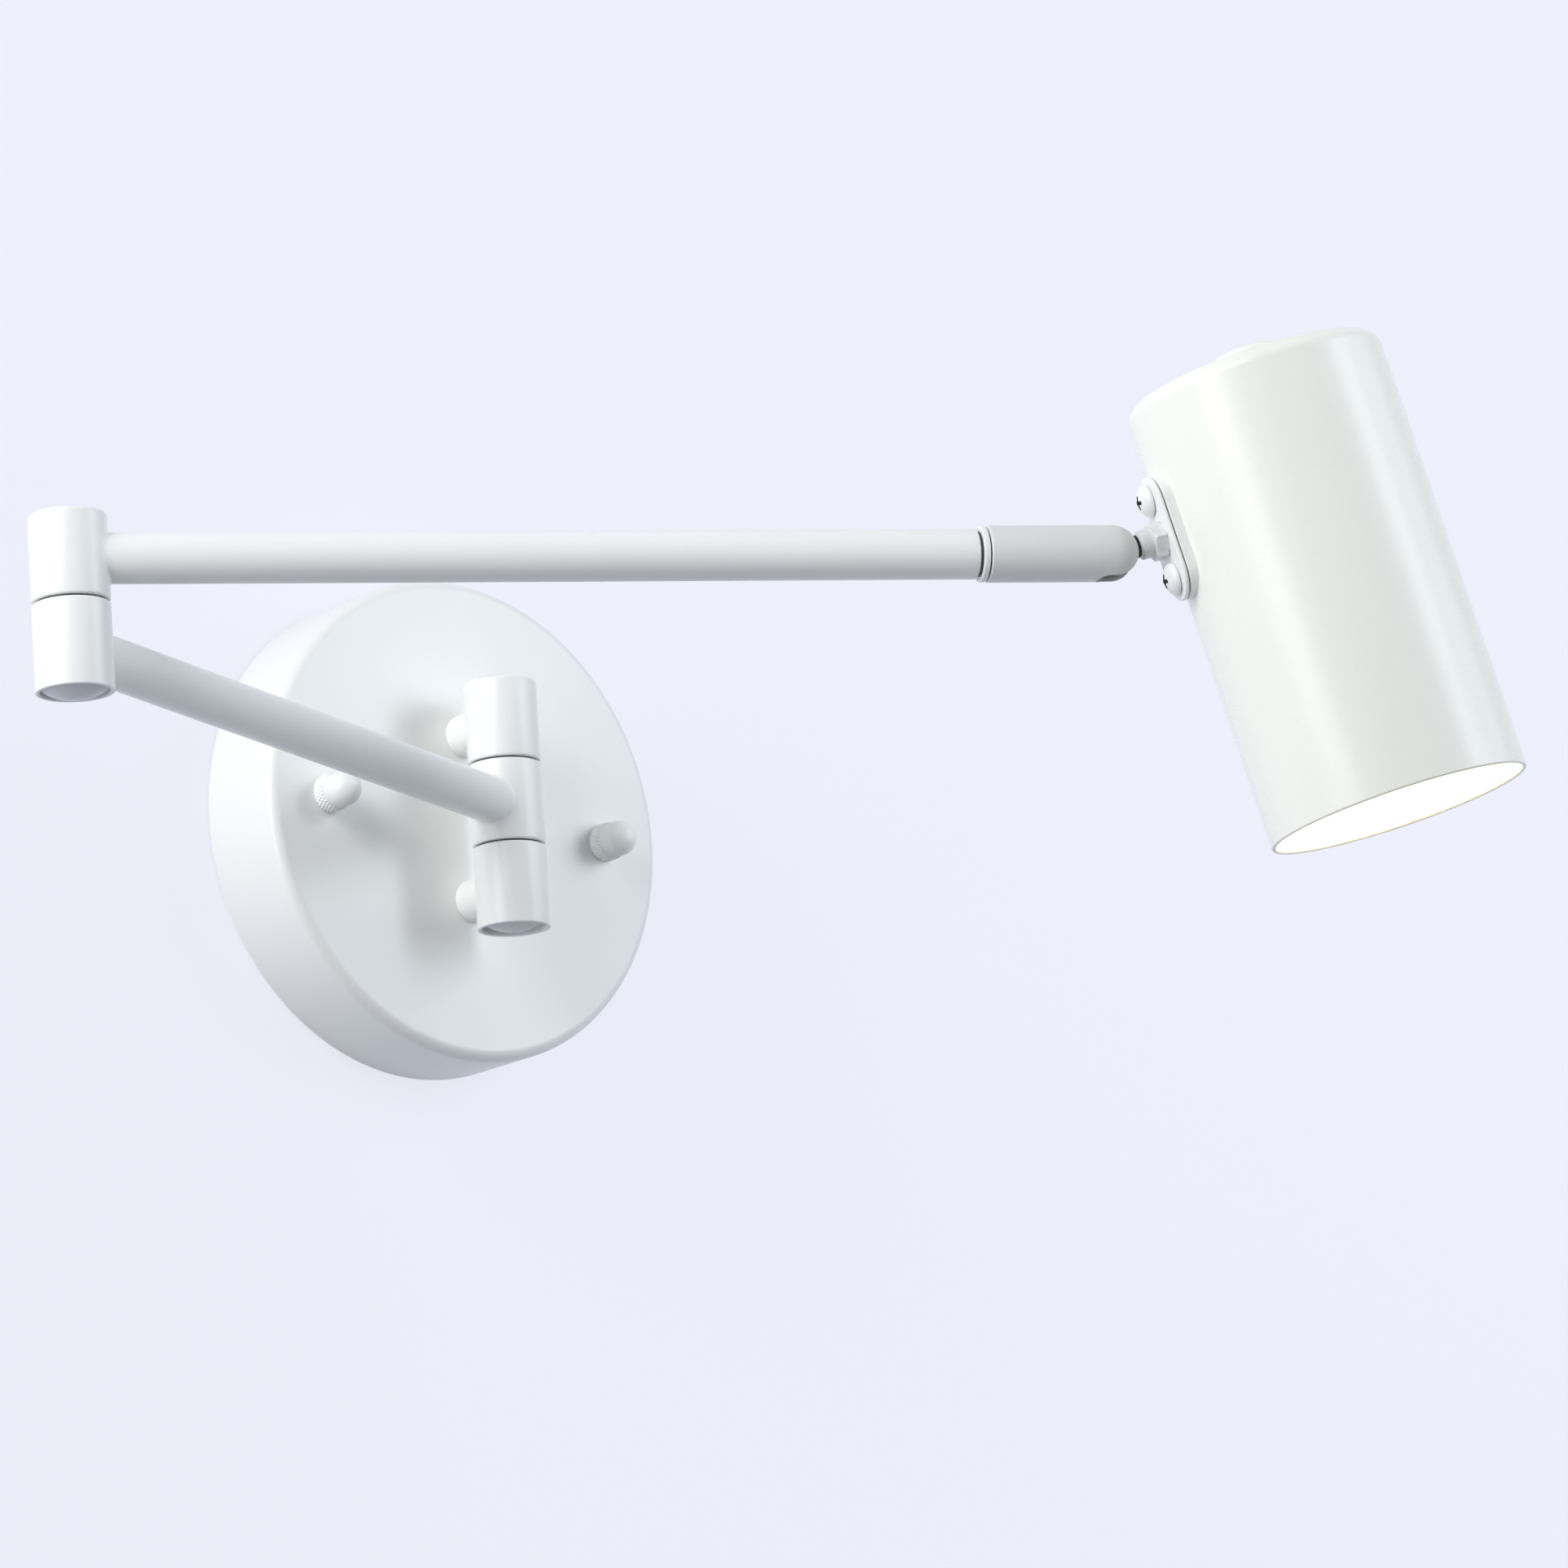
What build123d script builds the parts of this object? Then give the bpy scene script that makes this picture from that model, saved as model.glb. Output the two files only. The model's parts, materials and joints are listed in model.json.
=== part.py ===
from build123d import *
import math
import os

os.makedirs("parts", exist_ok=True)

# Articulating wall lamp, millimetres. The origin is the centre of the canopy's back edge on the
# wall. +Z is up and the wall is the plane y = 0, so the lamp stands out of it along -Y.

# ---- driving dimensions ----
# canopy and what fixes it to the wall
canopy_diameter = 125.0
canopy_depth = 26.0
canopy_wall = 1.5
canopy_edge_radius = 3.0
wall_plate_diameter = 108.0
wall_plate_thickness = 1.5
wire_entry_diameter = 20.0
wall_slot_spacing = 60.0
wall_slot_length = 20.0
wall_slot_width = 5.0
stud_spacing = 88.9
stud_line_tilt = -2.6
stud_diameter = 4.0
cap_nut_diameter = 10.0
cap_nut_length = 11.0
cap_nut_collar = 3.8
cap_nut_step = 0.5
cap_nut_bore_depth = 8.5
terminal_block_size = (27.0, 15.0, 11.0)
terminal_block_offset = 26.0
terminal_ways = 3
terminal_way_pitch = 9.0
terminal_row_spacing = 7.5
terminal_well_diameter = 4.0
terminal_well_depth = 3.6
terminal_groove_width = 1.0
terminal_groove_depth = 1.8
terminal_corner_radius = 1.0
earth_screw_diameter = 4.0
earth_screw_head_diameter = 8.0
earth_screw_head_height = 2.4
earth_screw_offset = 26.0

# stacked pivot knuckles, the same barrel five times
knuckle_diameter = 18.5
knuckle_height = 21.0
knuckle_edge_radius = 0.6
knuckle_top_radius = 1.2
washer_thickness = 0.5
washer_diameter = 16.6
pivot_standoff = 16.0
pivot_diameter = 10.0
pivot_bore = 7.4
pivot_roof = 3.5
pivot_nut_diameter = 12.0
pivot_nut_height = 3.0
pivot_nut_slots = 4
spanner_slot_width = 1.8
spanner_slot_depth = 0.6
plug_diameter = 16.4
plug_pocket_depth = 6.8
plug_skirt = 1.6
plug_dome_height = 2.4
wall_plug_recess = 1.8
elbow_plug_recess = 0.8
socket_floor = 6.2
wire_hole_diameter = 6.0
spigot_diameter = 11.0
spigot_thread_diameter = 10.0
spigot_thread_length = 8.0
spigot_bore = 7.0
spigot_nut_across_flats = 14.0
spigot_nut_height = 3.0

# arms, and where the photographed pose sets them, from straight out of the wall
tube_diameter = 12.0
tube_wall = 1.0
arm_1_length = 208.0
arm_1_azimuth = -67.4
arm_2_length = 250.0
arm_2_azimuth = 62.4
swivel_length = 33.4

# swivel at the end of the second arm
swivel_gap = 0.8
sleeve_gap = 0.4
swivel_ring_width = 1.4
swivel_ring_diameter = 13.4
swivel_washer_diameter = 10.8
spindle_diameter = 8.0
spindle_bore = 5.0
spindle_seat = 10.0
spindle_nut_diameter = 10.2
spindle_nut_height = 2.6
spindle_nut_slots = 2
sleeve_diameter = 13.6
sleeve_wall = 1.0
bush_length = 6.0
preload_ring_width = 2.0
disc_spring_thickness = 0.4
disc_spring_height = 0.8
ball_seat_length = 12.0

# slotted ball joint that tilts the head
neck_diameter = 5.5
neck_slot_clearance = 0.25
stem_diameter = 7.0
stem_gap = 0.5
slot_up_angle = 20.0
slot_down_angle = -100.0
head_tilt = 14.5
stem_hex_width = 3.2
stem_hex_across_flats = 8.5
shank_diameter = 6.0
stem_bore = 3.0
stem_nut_diameter = 8.0
stem_nut_height = 2.5

# head bracket and shade
bracket_face = 13.5
bracket_thickness = 3.0
bracket_length = 31.0
bracket_width = 14.0
bracket_edge_radius = 0.5
bracket_screw_spacing = 20.0
bracket_screw_diameter = 4.0
pan_head_diameter = 8.0
pan_head_height = 3.0
pan_head_rim = 1.0
recess_width = 1.0
recess_span = 3.8
recess_depth = 1.2
bracket_nut_across_flats = 7.0
bracket_nut_height = 2.2
shade_diameter = 64.0
shade_wall = 1.2
shade_above_stem = 34.0
shade_below_stem = 78.0
shade_edge_radius = 4.0
shade_lip_radius = 0.5

# lampholder and bulb on the shade's own axis
rear_cap_diameter = 16.0
rear_cap_height = 6.2
rear_cap_rim = 5.0
nipple_diameter = 10.0
nipple_bore = 6.5
nipple_proud = 3.6
nipple_seat = 8.0
holder_diameter = 27.0
holder_length = 38.0
holder_cavity_diameter = 15.0
holder_cavity_depth = 24.0
holder_shoulder_radius = 1.6
holder_groove_depth = 0.8
holder_groove_width = 1.6
holder_groove_pitch = 4.75
holder_groove_count = 3
bulb_cap_diameter = 13.8
bulb_cap_length = 21.0
bulb_cap_wall = 0.8
bulb_contact_diameter = 8.0
bulb_contact_height = 2.0
bulb_diameter = 45.0
bulb_length = 57.0
bulb_neck_length = 5.0
bulb_shoulder_angle = 42.0
glass_thickness = 0.9

# clearances: screwed, brazed and pressed seats, pivots that turn, and holes that screws pass
seat_clearance = 0.02
running_clearance = 0.05
screw_hole_clearance = 0.15

# ---- derived values ----
knuckle_radius = knuckle_diameter / 2
knuckle_pitch = knuckle_height + washer_thickness
pivot_radius = pivot_diameter / 2
plug_radius = plug_diameter / 2
tube_radius = tube_diameter / 2
sleeve_radius = sleeve_diameter / 2
sleeve_bore = sleeve_diameter - 2 * sleeve_wall
ball_radius = sleeve_bore / 2 - running_clearance
neck_radius = neck_diameter / 2
slot_radius = neck_radius + neck_slot_clearance
shade_radius = shade_diameter / 2
shade_inner_radius = shade_radius - shade_wall

upper_level = knuckle_pitch
lower_level = -knuckle_pitch
pivot_reach = canopy_depth + pivot_standoff
pivot_top = upper_level + knuckle_height / 2 - pivot_roof
stem_start = sleeve_radius + stem_gap
stem_hex_start = bracket_face - stem_hex_width
shade_axis_distance = bracket_face + bracket_thickness + shade_radius
inner_nut_face = shade_axis_distance - math.sqrt(shade_inner_radius**2 - (stem_nut_diameter / 2) ** 2)

arm_2_tube_end = arm_2_length - swivel_length
ring_start = arm_2_tube_end + swivel_gap
ring_end = ring_start + swivel_ring_width
sleeve_start = ring_end + sleeve_gap
bush_end = sleeve_start + bush_length
spindle_nut_end = bush_end + seat_clearance + spindle_nut_height
seat_front = arm_2_length - slot_radius
seat_back = seat_front - ball_seat_length
springs_back = seat_back - 2 * disc_spring_height - seat_clearance
preload_back = springs_back - preload_ring_width


def arm_direction(azimuth):
    """Level direction that leaves the wall at this angle, positive to the right."""
    angle = math.radians(azimuth)
    return Vector(math.sin(angle), -math.cos(angle), 0)


# frames: x along the arm or stem, z up, origin on the pivot or ball
shoulder = Plane(origin=(0, -pivot_reach, 0), x_dir=arm_direction(0), z_dir=(0, 0, 1))
arm_1 = Plane(origin=shoulder.origin, x_dir=arm_direction(arm_1_azimuth), z_dir=(0, 0, 1))
elbow_low = Plane(
    origin=arm_1.origin + arm_1.x_dir * arm_1_length,
    x_dir=-arm_1.x_dir,
    z_dir=(0, 0, 1),
)
arm_2 = Plane(
    origin=elbow_low.origin + Vector(0, 0, knuckle_pitch),
    x_dir=arm_direction(arm_2_azimuth),
    z_dir=(0, 0, 1),
)
ball = Plane(
    origin=arm_2.origin + arm_2.x_dir * arm_2_length,
    x_dir=arm_2.x_dir,
    z_dir=(0, 0, 1),
)


def ball_polar(radius, elevation):
    """Point in the slot's plane, from the ball's centre."""
    angle = math.radians(elevation)
    return (radius * math.cos(angle), radius * math.sin(angle))


def stem_direction(elevation):
    """Direction in the slot's plane at this angle above the second arm's line."""
    angle = math.radians(elevation)
    return ball.x_dir * math.cos(angle) + ball.z_dir * math.sin(angle)


head = Plane(
    origin=ball.origin,
    x_dir=stem_direction(head_tilt),
    z_dir=stem_direction(head_tilt + 90),
)
shade_centre = head.origin + head.x_dir * shade_axis_distance
shade_frame = Plane(origin=shade_centre, x_dir=head.x_dir, z_dir=head.z_dir)


def across(frame, distance, height=0.0):
    """Plane square to the frame's x axis, facing along it."""
    start = frame.origin + frame.x_dir * distance + frame.z_dir * height
    return Plane(origin=start, x_dir=frame.y_dir, z_dir=frame.x_dir)


def lengthwise(frame):
    """Upright plane through the frame's x axis, with y up, for turned profiles."""
    return Plane(origin=frame.origin, x_dir=frame.x_dir, z_dir=-frame.y_dir)


def out_of_wall(distance):
    """Plane parallel to the wall and this far in front of it, with y up."""
    return Plane.XZ.offset(distance)


def outer_edges(part, level_axis, radius):
    """Circular edges of this radius, in order along the axis."""
    round_edges = part.edges().filter_by(GeomType.CIRCLE)
    return round_edges.filter_by(lambda e: abs(e.radius - radius) < seat_clearance).sort_by(level_axis)


def barrel_bottom(level):
    """Height of a knuckle's lower face, from the level of its middle."""
    return level - knuckle_height / 2


def barrel(frame, level):
    """Solid knuckle, upright about the frame's origin."""
    with BuildSketch(frame.offset(barrel_bottom(level))) as outline:
        Circle(knuckle_radius)
    extrude(outline.sketch, amount=knuckle_height)


def upright_bore(frame, level, radius, depth):
    """Hole from a knuckle's lower face upward."""
    with BuildSketch(frame.offset(barrel_bottom(level))) as outline:
        Circle(radius)
    extrude(outline.sketch, amount=depth, mode=Mode.SUBTRACT)


def side_socket(frame, level, radius, start, reach):
    """Hole along the frame's x axis, for a tube's end or for the wires."""
    with BuildSketch(across(frame, start, level)) as outline:
        Circle(radius)
    extrude(outline.sketch, amount=reach, mode=Mode.SUBTRACT)


def slotted_ring(plane, outer_diameter, hole_radius, slots, thickness):
    """Round lock nut with spanner slots in its rim."""
    with BuildSketch(plane) as outline:
        Circle(outer_diameter / 2)
        Circle(hole_radius, mode=Mode.SUBTRACT)
        with PolarLocations(outer_diameter / 2, slots):
            Rectangle(spanner_slot_depth * 2, spanner_slot_width, mode=Mode.SUBTRACT)
    extrude(outline.sketch, amount=thickness)


def domed_plug(frame, rim_height):
    """Low-domed plug pressed into the mouth of a knuckle's pocket, dome down."""
    with BuildSketch(lengthwise(frame)) as outline:
        with BuildLine():
            Polyline(
                (0, rim_height - plug_dome_height),
                (0, rim_height + plug_skirt),
                (plug_radius, rim_height + plug_skirt),
                (plug_radius, rim_height),
            )
            TangentArc(
                (0, rim_height - plug_dome_height), (plug_radius, rim_height), tangent=(1, 0)
            )
        make_face()
    revolve(outline.sketch, axis=Axis(frame.origin, (0, 0, 1)))


# ---- canopy: a spun steel cup, open to the wall ----
stud_angle = math.radians(stud_line_tilt)
stud_places = [
    (side * stud_spacing / 2 * math.cos(stud_angle), side * stud_spacing / 2 * math.sin(stud_angle))
    for side in (-1, 1)
]
spigot_places = [(0, upper_level), (0, lower_level)]

with BuildPart() as canopy:
    with BuildSketch(out_of_wall(0)):
        Circle(canopy_diameter / 2)
    extrude(amount=canopy_depth)
    front_edge = outer_edges(canopy.part, Axis.Y, canopy_diameter / 2).first
    fillet(front_edge, canopy_edge_radius)
    offset(amount=-canopy_wall, openings=canopy.faces().sort_by(Axis.Y).last)
    with BuildSketch(out_of_wall(0)):
        with Locations(*stud_places):
            Circle(stud_diameter / 2 + screw_hole_clearance)
        with Locations(*spigot_places):
            Circle(spigot_thread_diameter / 2 + seat_clearance)
    extrude(amount=canopy_depth, mode=Mode.SUBTRACT)

# ---- wall plate: steel disc that the wall screws hold ----
with BuildPart() as wall_plate:
    with BuildSketch(out_of_wall(0)):
        Circle(wall_plate_diameter / 2)
        Circle(wire_entry_diameter / 2, mode=Mode.SUBTRACT)
        with Locations((0, wall_slot_spacing / 2), (0, -wall_slot_spacing / 2)):
            SlotOverall(wall_slot_length, wall_slot_width, rotation=90, mode=Mode.SUBTRACT)
        with Locations(*stud_places):
            Circle(stud_diameter / 2 + seat_clearance, mode=Mode.SUBTRACT)
        with Locations((-earth_screw_offset, 0)):
            Circle(earth_screw_diameter / 2 + seat_clearance, mode=Mode.SUBTRACT)
    extrude(amount=wall_plate_thickness)

# ---- mounting studs: threaded rods from the plate into the cap nuts ----
with BuildPart() as mounting_studs:
    with BuildSketch(out_of_wall(0)):
        with Locations(*stud_places):
            Circle(stud_diameter / 2)
    extrude(amount=canopy_depth + cap_nut_bore_depth - seat_clearance)

# ---- cap nuts: collar with a domed end, the canopy's two visible fixings ----
dome_radius = cap_nut_diameter / 2 - cap_nut_step
dome_start = cap_nut_length - dome_radius
with BuildPart() as cap_nuts:
    for stud_x, stud_z in stud_places:
        nut = Plane(origin=(stud_x, -canopy_depth, stud_z), x_dir=(0, -1, 0), z_dir=(0, 0, 1))
        with BuildSketch(lengthwise(nut)):
            with BuildLine():
                Polyline(
                    (cap_nut_length, 0),
                    (0, 0),
                    (0, cap_nut_diameter / 2),
                    (cap_nut_collar, cap_nut_diameter / 2),
                    (cap_nut_collar, dome_radius),
                    (dome_start, dome_radius),
                )
                CenterArc((dome_start, 0), dome_radius, 0, 90)
            make_face()
        revolve(axis=Axis(nut.origin, nut.x_dir))
    with BuildSketch(out_of_wall(canopy_depth)):
        with Locations(*stud_places):
            Circle(stud_diameter / 2 + seat_clearance)
    extrude(amount=cap_nut_bore_depth, mode=Mode.SUBTRACT)

# ---- terminal block and earth screw on the wall plate ----
block_width, block_height, block_depth = terminal_block_size
with BuildPart() as terminal_block:
    with BuildSketch(out_of_wall(wall_plate_thickness)):
        with Locations((terminal_block_offset, 0)):
            RectangleRounded(block_width, block_height, terminal_corner_radius)
    extrude(amount=block_depth)
    with BuildSketch(out_of_wall(wall_plate_thickness + block_depth)):
        with Locations((terminal_block_offset, 0)):
            with GridLocations(terminal_way_pitch, terminal_row_spacing, terminal_ways, 2):
                Circle(terminal_well_diameter / 2)
    extrude(amount=-terminal_well_depth, mode=Mode.SUBTRACT)
    with BuildSketch(out_of_wall(wall_plate_thickness + block_depth)):
        with Locations((terminal_block_offset, 0)):
            with GridLocations(terminal_way_pitch, block_height, terminal_ways - 1, 1):
                Rectangle(terminal_groove_width, block_height)
    extrude(amount=-terminal_groove_depth, mode=Mode.SUBTRACT)

with BuildPart() as earth_screw:
    with BuildSketch(out_of_wall(0)):
        with Locations((-earth_screw_offset, 0)):
            Circle(earth_screw_diameter / 2)
    extrude(amount=wall_plate_thickness)
    with BuildSketch(out_of_wall(wall_plate_thickness)):
        with Locations((-earth_screw_offset, 0)):
            Circle(earth_screw_head_diameter / 2)
    extrude(amount=earth_screw_head_height)
    with BuildSketch(out_of_wall(wall_plate_thickness + earth_screw_head_height)):
        with Locations((-earth_screw_offset, 0)):
            Rectangle(earth_screw_head_diameter, recess_width)
    extrude(amount=-recess_depth, mode=Mode.SUBTRACT)

# ---- spigots: hollow stubs brazed into the wall knuckles and screwed through the canopy ----
spigot_root = pivot_reach - socket_floor
with BuildPart() as wall_spigots:
    with BuildSketch(out_of_wall(canopy_depth)):
        with Locations(*spigot_places):
            Circle(spigot_diameter / 2)
    extrude(amount=spigot_root - canopy_depth)
    with BuildSketch(out_of_wall(canopy_depth - spigot_thread_length)):
        with Locations(*spigot_places):
            Circle(spigot_thread_diameter / 2)
    extrude(amount=spigot_thread_length)
    with BuildSketch(out_of_wall(canopy_depth - spigot_thread_length)):
        with Locations(*spigot_places):
            Circle(spigot_bore / 2)
    extrude(amount=spigot_root, mode=Mode.SUBTRACT)

with BuildPart() as spigot_nuts:
    with BuildSketch(out_of_wall(canopy_depth - canopy_wall)):
        with Locations(*spigot_places):
            RegularPolygon(spigot_nut_across_flats / 2, 6, major_radius=False)
            Circle(spigot_thread_diameter / 2 + seat_clearance, mode=Mode.SUBTRACT)
    extrude(amount=-spigot_nut_height)


# ---- upper wall knuckle: closed on top, holds the pivot tube ----
with BuildPart() as upper_wall_knuckle:
    barrel(shoulder, upper_level)
    barrel_rims = outer_edges(upper_wall_knuckle.part, Axis.Z, knuckle_radius)
    fillet(barrel_rims.last, knuckle_top_radius)
    fillet(barrel_rims.first, knuckle_edge_radius)
    upright_bore(shoulder, upper_level, pivot_radius + seat_clearance, knuckle_height - pivot_roof)
    side_socket(shoulder, upper_level, spigot_diameter / 2 + seat_clearance, -socket_floor, -knuckle_radius)
    side_socket(shoulder, upper_level, wire_hole_diameter / 2, 0, -knuckle_radius)

# ---- lower wall knuckle: open below for the nut and the domed plug ----
with BuildPart() as lower_wall_knuckle:
    barrel(shoulder, lower_level)
    barrel_rims = outer_edges(lower_wall_knuckle.part, Axis.Z, knuckle_radius)
    fillet(barrel_rims.last, knuckle_edge_radius)
    upright_bore(shoulder, lower_level, pivot_radius + seat_clearance, knuckle_height)
    upright_bore(shoulder, lower_level, plug_radius + seat_clearance, plug_pocket_depth)
    side_socket(shoulder, lower_level, spigot_diameter / 2 + seat_clearance, -socket_floor, -knuckle_radius)

# ---- shoulder knuckle: the middle barrel, turns about the pivot tube and carries the first arm ----
with BuildPart() as shoulder_knuckle:
    barrel(arm_1, 0)
    fillet(outer_edges(shoulder_knuckle.part, Axis.Z, knuckle_radius), knuckle_edge_radius)
    upright_bore(arm_1, 0, pivot_radius + running_clearance, knuckle_height)
    side_socket(arm_1, 0, tube_radius + seat_clearance, socket_floor, knuckle_radius)
    side_socket(arm_1, 0, wire_hole_diameter / 2, 0, knuckle_radius)

# ---- shoulder pivot: hollow tube with openings for the wires, its nut, washers and plug ----
wall_pocket_roof = barrel_bottom(lower_level) + plug_pocket_depth
shoulder_pivot_bottom = wall_pocket_roof - pivot_nut_height
with BuildPart() as shoulder_pivot_tube:
    with BuildSketch(shoulder.offset(shoulder_pivot_bottom)):
        Circle(pivot_radius)
        Circle(pivot_bore / 2, mode=Mode.SUBTRACT)
    extrude(amount=pivot_top - seat_clearance - shoulder_pivot_bottom)
    side_socket(shoulder, upper_level, wire_hole_diameter / 2, 0, -knuckle_radius)
    with BuildSketch(across(shoulder, 0)):
        Rectangle(pivot_diameter, wire_hole_diameter)
    extrude(amount=knuckle_radius, mode=Mode.SUBTRACT)

with BuildPart() as shoulder_pivot_nut:
    nut_plane = shoulder.offset(shoulder_pivot_bottom)
    slotted_ring(
        nut_plane, pivot_nut_diameter, pivot_radius + seat_clearance, pivot_nut_slots, pivot_nut_height
    )

with BuildPart() as shoulder_washers:
    for washer_level in (barrel_bottom(upper_level), barrel_bottom(0)):
        with BuildSketch(shoulder.offset(washer_level)):
            Circle(washer_diameter / 2)
            Circle(pivot_radius + running_clearance, mode=Mode.SUBTRACT)
        extrude(amount=-washer_thickness)

with BuildPart() as shoulder_plug:
    domed_plug(shoulder, barrel_bottom(lower_level) + wall_plug_recess)

# ---- first arm: steel tube brazed into the shoulder and elbow knuckles ----
arm_1_tube_length = arm_1_length - 2 * socket_floor
with BuildPart() as arm_1_tube:
    with BuildSketch(across(arm_1, socket_floor)):
        Circle(tube_radius)
        Circle(tube_radius - tube_wall, mode=Mode.SUBTRACT)
    extrude(amount=arm_1_tube_length)

# ---- elbow lower knuckle: end of the first arm, open below ----
with BuildPart() as elbow_lower_knuckle:
    barrel(elbow_low, 0)
    barrel_rims = outer_edges(elbow_lower_knuckle.part, Axis.Z, knuckle_radius)
    fillet(barrel_rims.last, knuckle_edge_radius)
    upright_bore(elbow_low, 0, pivot_radius + running_clearance, knuckle_height)
    upright_bore(elbow_low, 0, plug_radius + seat_clearance, plug_pocket_depth)
    side_socket(elbow_low, 0, tube_radius + seat_clearance, socket_floor, knuckle_radius)
    side_socket(elbow_low, 0, wire_hole_diameter / 2, 0, knuckle_radius)

with BuildPart() as elbow_plug:
    domed_plug(elbow_low, barrel_bottom(0) + elbow_plug_recess)

# ---- elbow upper knuckle: closed on top, carries the second arm and the pivot tube ----
with BuildPart() as elbow_upper_knuckle:
    barrel(arm_2, 0)
    barrel_rims = outer_edges(elbow_upper_knuckle.part, Axis.Z, knuckle_radius)
    fillet(barrel_rims.last, knuckle_top_radius)
    fillet(barrel_rims.first, knuckle_edge_radius)
    upright_bore(arm_2, 0, pivot_radius + seat_clearance, knuckle_height - pivot_roof)
    side_socket(arm_2, 0, tube_radius + seat_clearance, socket_floor, knuckle_radius)
    side_socket(arm_2, 0, wire_hole_diameter / 2, 0, knuckle_radius)

# ---- elbow pivot: screwed into the upper knuckle and turning in the lower one ----
elbow_pocket_roof = barrel_bottom(0) + plug_pocket_depth
elbow_pivot_bottom = elbow_pocket_roof - pivot_nut_height
elbow_pivot_top = knuckle_pitch + knuckle_height / 2 - pivot_roof - seat_clearance
with BuildPart() as elbow_pivot_tube:
    with BuildSketch(elbow_low.offset(elbow_pivot_bottom)):
        Circle(pivot_radius)
        Circle(pivot_bore / 2, mode=Mode.SUBTRACT)
    extrude(amount=elbow_pivot_top - elbow_pivot_bottom)
    side_socket(arm_2, 0, wire_hole_diameter / 2, 0, knuckle_radius)
    with BuildSketch(across(elbow_low, 0, wire_hole_diameter / 2)):
        Rectangle(pivot_diameter, wire_hole_diameter)
    extrude(amount=knuckle_radius, mode=Mode.SUBTRACT)

with BuildPart() as elbow_pivot_nut:
    nut_plane = elbow_low.offset(elbow_pivot_bottom)
    slotted_ring(
        nut_plane, pivot_nut_diameter, pivot_radius + seat_clearance, pivot_nut_slots, pivot_nut_height
    )

with BuildPart() as elbow_washer:
    with BuildSketch(arm_2.offset(barrel_bottom(0))):
        Circle(washer_diameter / 2)
        Circle(pivot_radius + running_clearance, mode=Mode.SUBTRACT)
    extrude(amount=-washer_thickness)

# ---- second arm: steel tube with the swivel spindle pressed into its far end ----
with BuildPart() as arm_2_tube:
    with BuildSketch(across(arm_2, socket_floor)):
        Circle(tube_radius)
        Circle(tube_radius - tube_wall, mode=Mode.SUBTRACT)
    extrude(amount=arm_2_tube_end - socket_floor)

with BuildPart() as swivel_spindle:
    with BuildSketch(lengthwise(arm_2)):
        with BuildLine():
            Polyline(
                (arm_2_tube_end - spindle_seat, spindle_bore / 2),
                (arm_2_tube_end - spindle_seat, tube_radius - tube_wall - seat_clearance),
                (arm_2_tube_end, tube_radius - tube_wall - seat_clearance),
                (arm_2_tube_end, spindle_diameter / 2),
                (ring_start, spindle_diameter / 2),
                (ring_start, swivel_ring_diameter / 2),
                (ring_end, swivel_ring_diameter / 2),
                (ring_end, spindle_diameter / 2),
                (spindle_nut_end, spindle_diameter / 2),
                (spindle_nut_end, spindle_bore / 2),
                close=True,
            )
        make_face()
    revolve(axis=Axis(arm_2.origin, arm_2.x_dir))

with BuildPart() as swivel_washers:
    for washer_start, thickness in ((arm_2_tube_end, swivel_gap), (ring_end, sleeve_gap)):
        with BuildSketch(across(arm_2, washer_start)):
            Circle(swivel_washer_diameter / 2)
            Circle(spindle_diameter / 2 + running_clearance, mode=Mode.SUBTRACT)
        extrude(amount=thickness)

with BuildPart() as spindle_nut:
    nut_plane = across(arm_2, spindle_nut_end - spindle_nut_height)
    slotted_ring(
        nut_plane,
        spindle_nut_diameter,
        spindle_diameter / 2 + seat_clearance,
        spindle_nut_slots,
        spindle_nut_height,
    )

# ---- swivel sleeve: turned cup with a round nose, slotted so that the stem can tilt ----
cutter_reach = sleeve_diameter
with BuildPart() as swivel_sleeve:
    with BuildSketch(lengthwise(arm_2)):
        with BuildLine():
            Polyline(
                (arm_2_length, sleeve_radius),
                (sleeve_start, sleeve_radius),
                (sleeve_start, sleeve_bore / 2),
                (arm_2_length, sleeve_bore / 2),
            )
            CenterArc((arm_2_length, 0), sleeve_bore / 2, 90, -90)
            Line((arm_2_length + sleeve_bore / 2, 0), (arm_2_length + sleeve_radius, 0))
            CenterArc((arm_2_length, 0), sleeve_radius, 0, 90)
        make_face()
    revolve(axis=Axis(arm_2.origin, arm_2.x_dir))
    # the slot: a sector as wide as the neck needs, with a round end at each limit of the tilt
    slot_lines = [ball_polar(cutter_reach, angle) for angle in (slot_down_angle, slot_up_angle)]
    with BuildSketch(lengthwise(ball)):
        with BuildLine():
            Line((0, 0), slot_lines[0])
            CenterArc((0, 0), cutter_reach, slot_down_angle, slot_up_angle - slot_down_angle)
            Line(slot_lines[1], (0, 0))
        make_face()
    extrude(amount=slot_radius, both=True, mode=Mode.SUBTRACT)
    for limit in (slot_up_angle, slot_down_angle):
        with BuildSketch(Plane(origin=ball.origin, z_dir=stem_direction(limit))):
            Circle(slot_radius)
        extrude(amount=cutter_reach, mode=Mode.SUBTRACT)

# ---- inside the sleeve: bush on the spindle, preload ring, disc springs and ball seat ----
with BuildPart() as sleeve_bush:
    with BuildSketch(across(arm_2, sleeve_start)):
        Circle(sleeve_bore / 2 - seat_clearance)
        Circle(spindle_diameter / 2 + running_clearance, mode=Mode.SUBTRACT)
    extrude(amount=bush_length)

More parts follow.
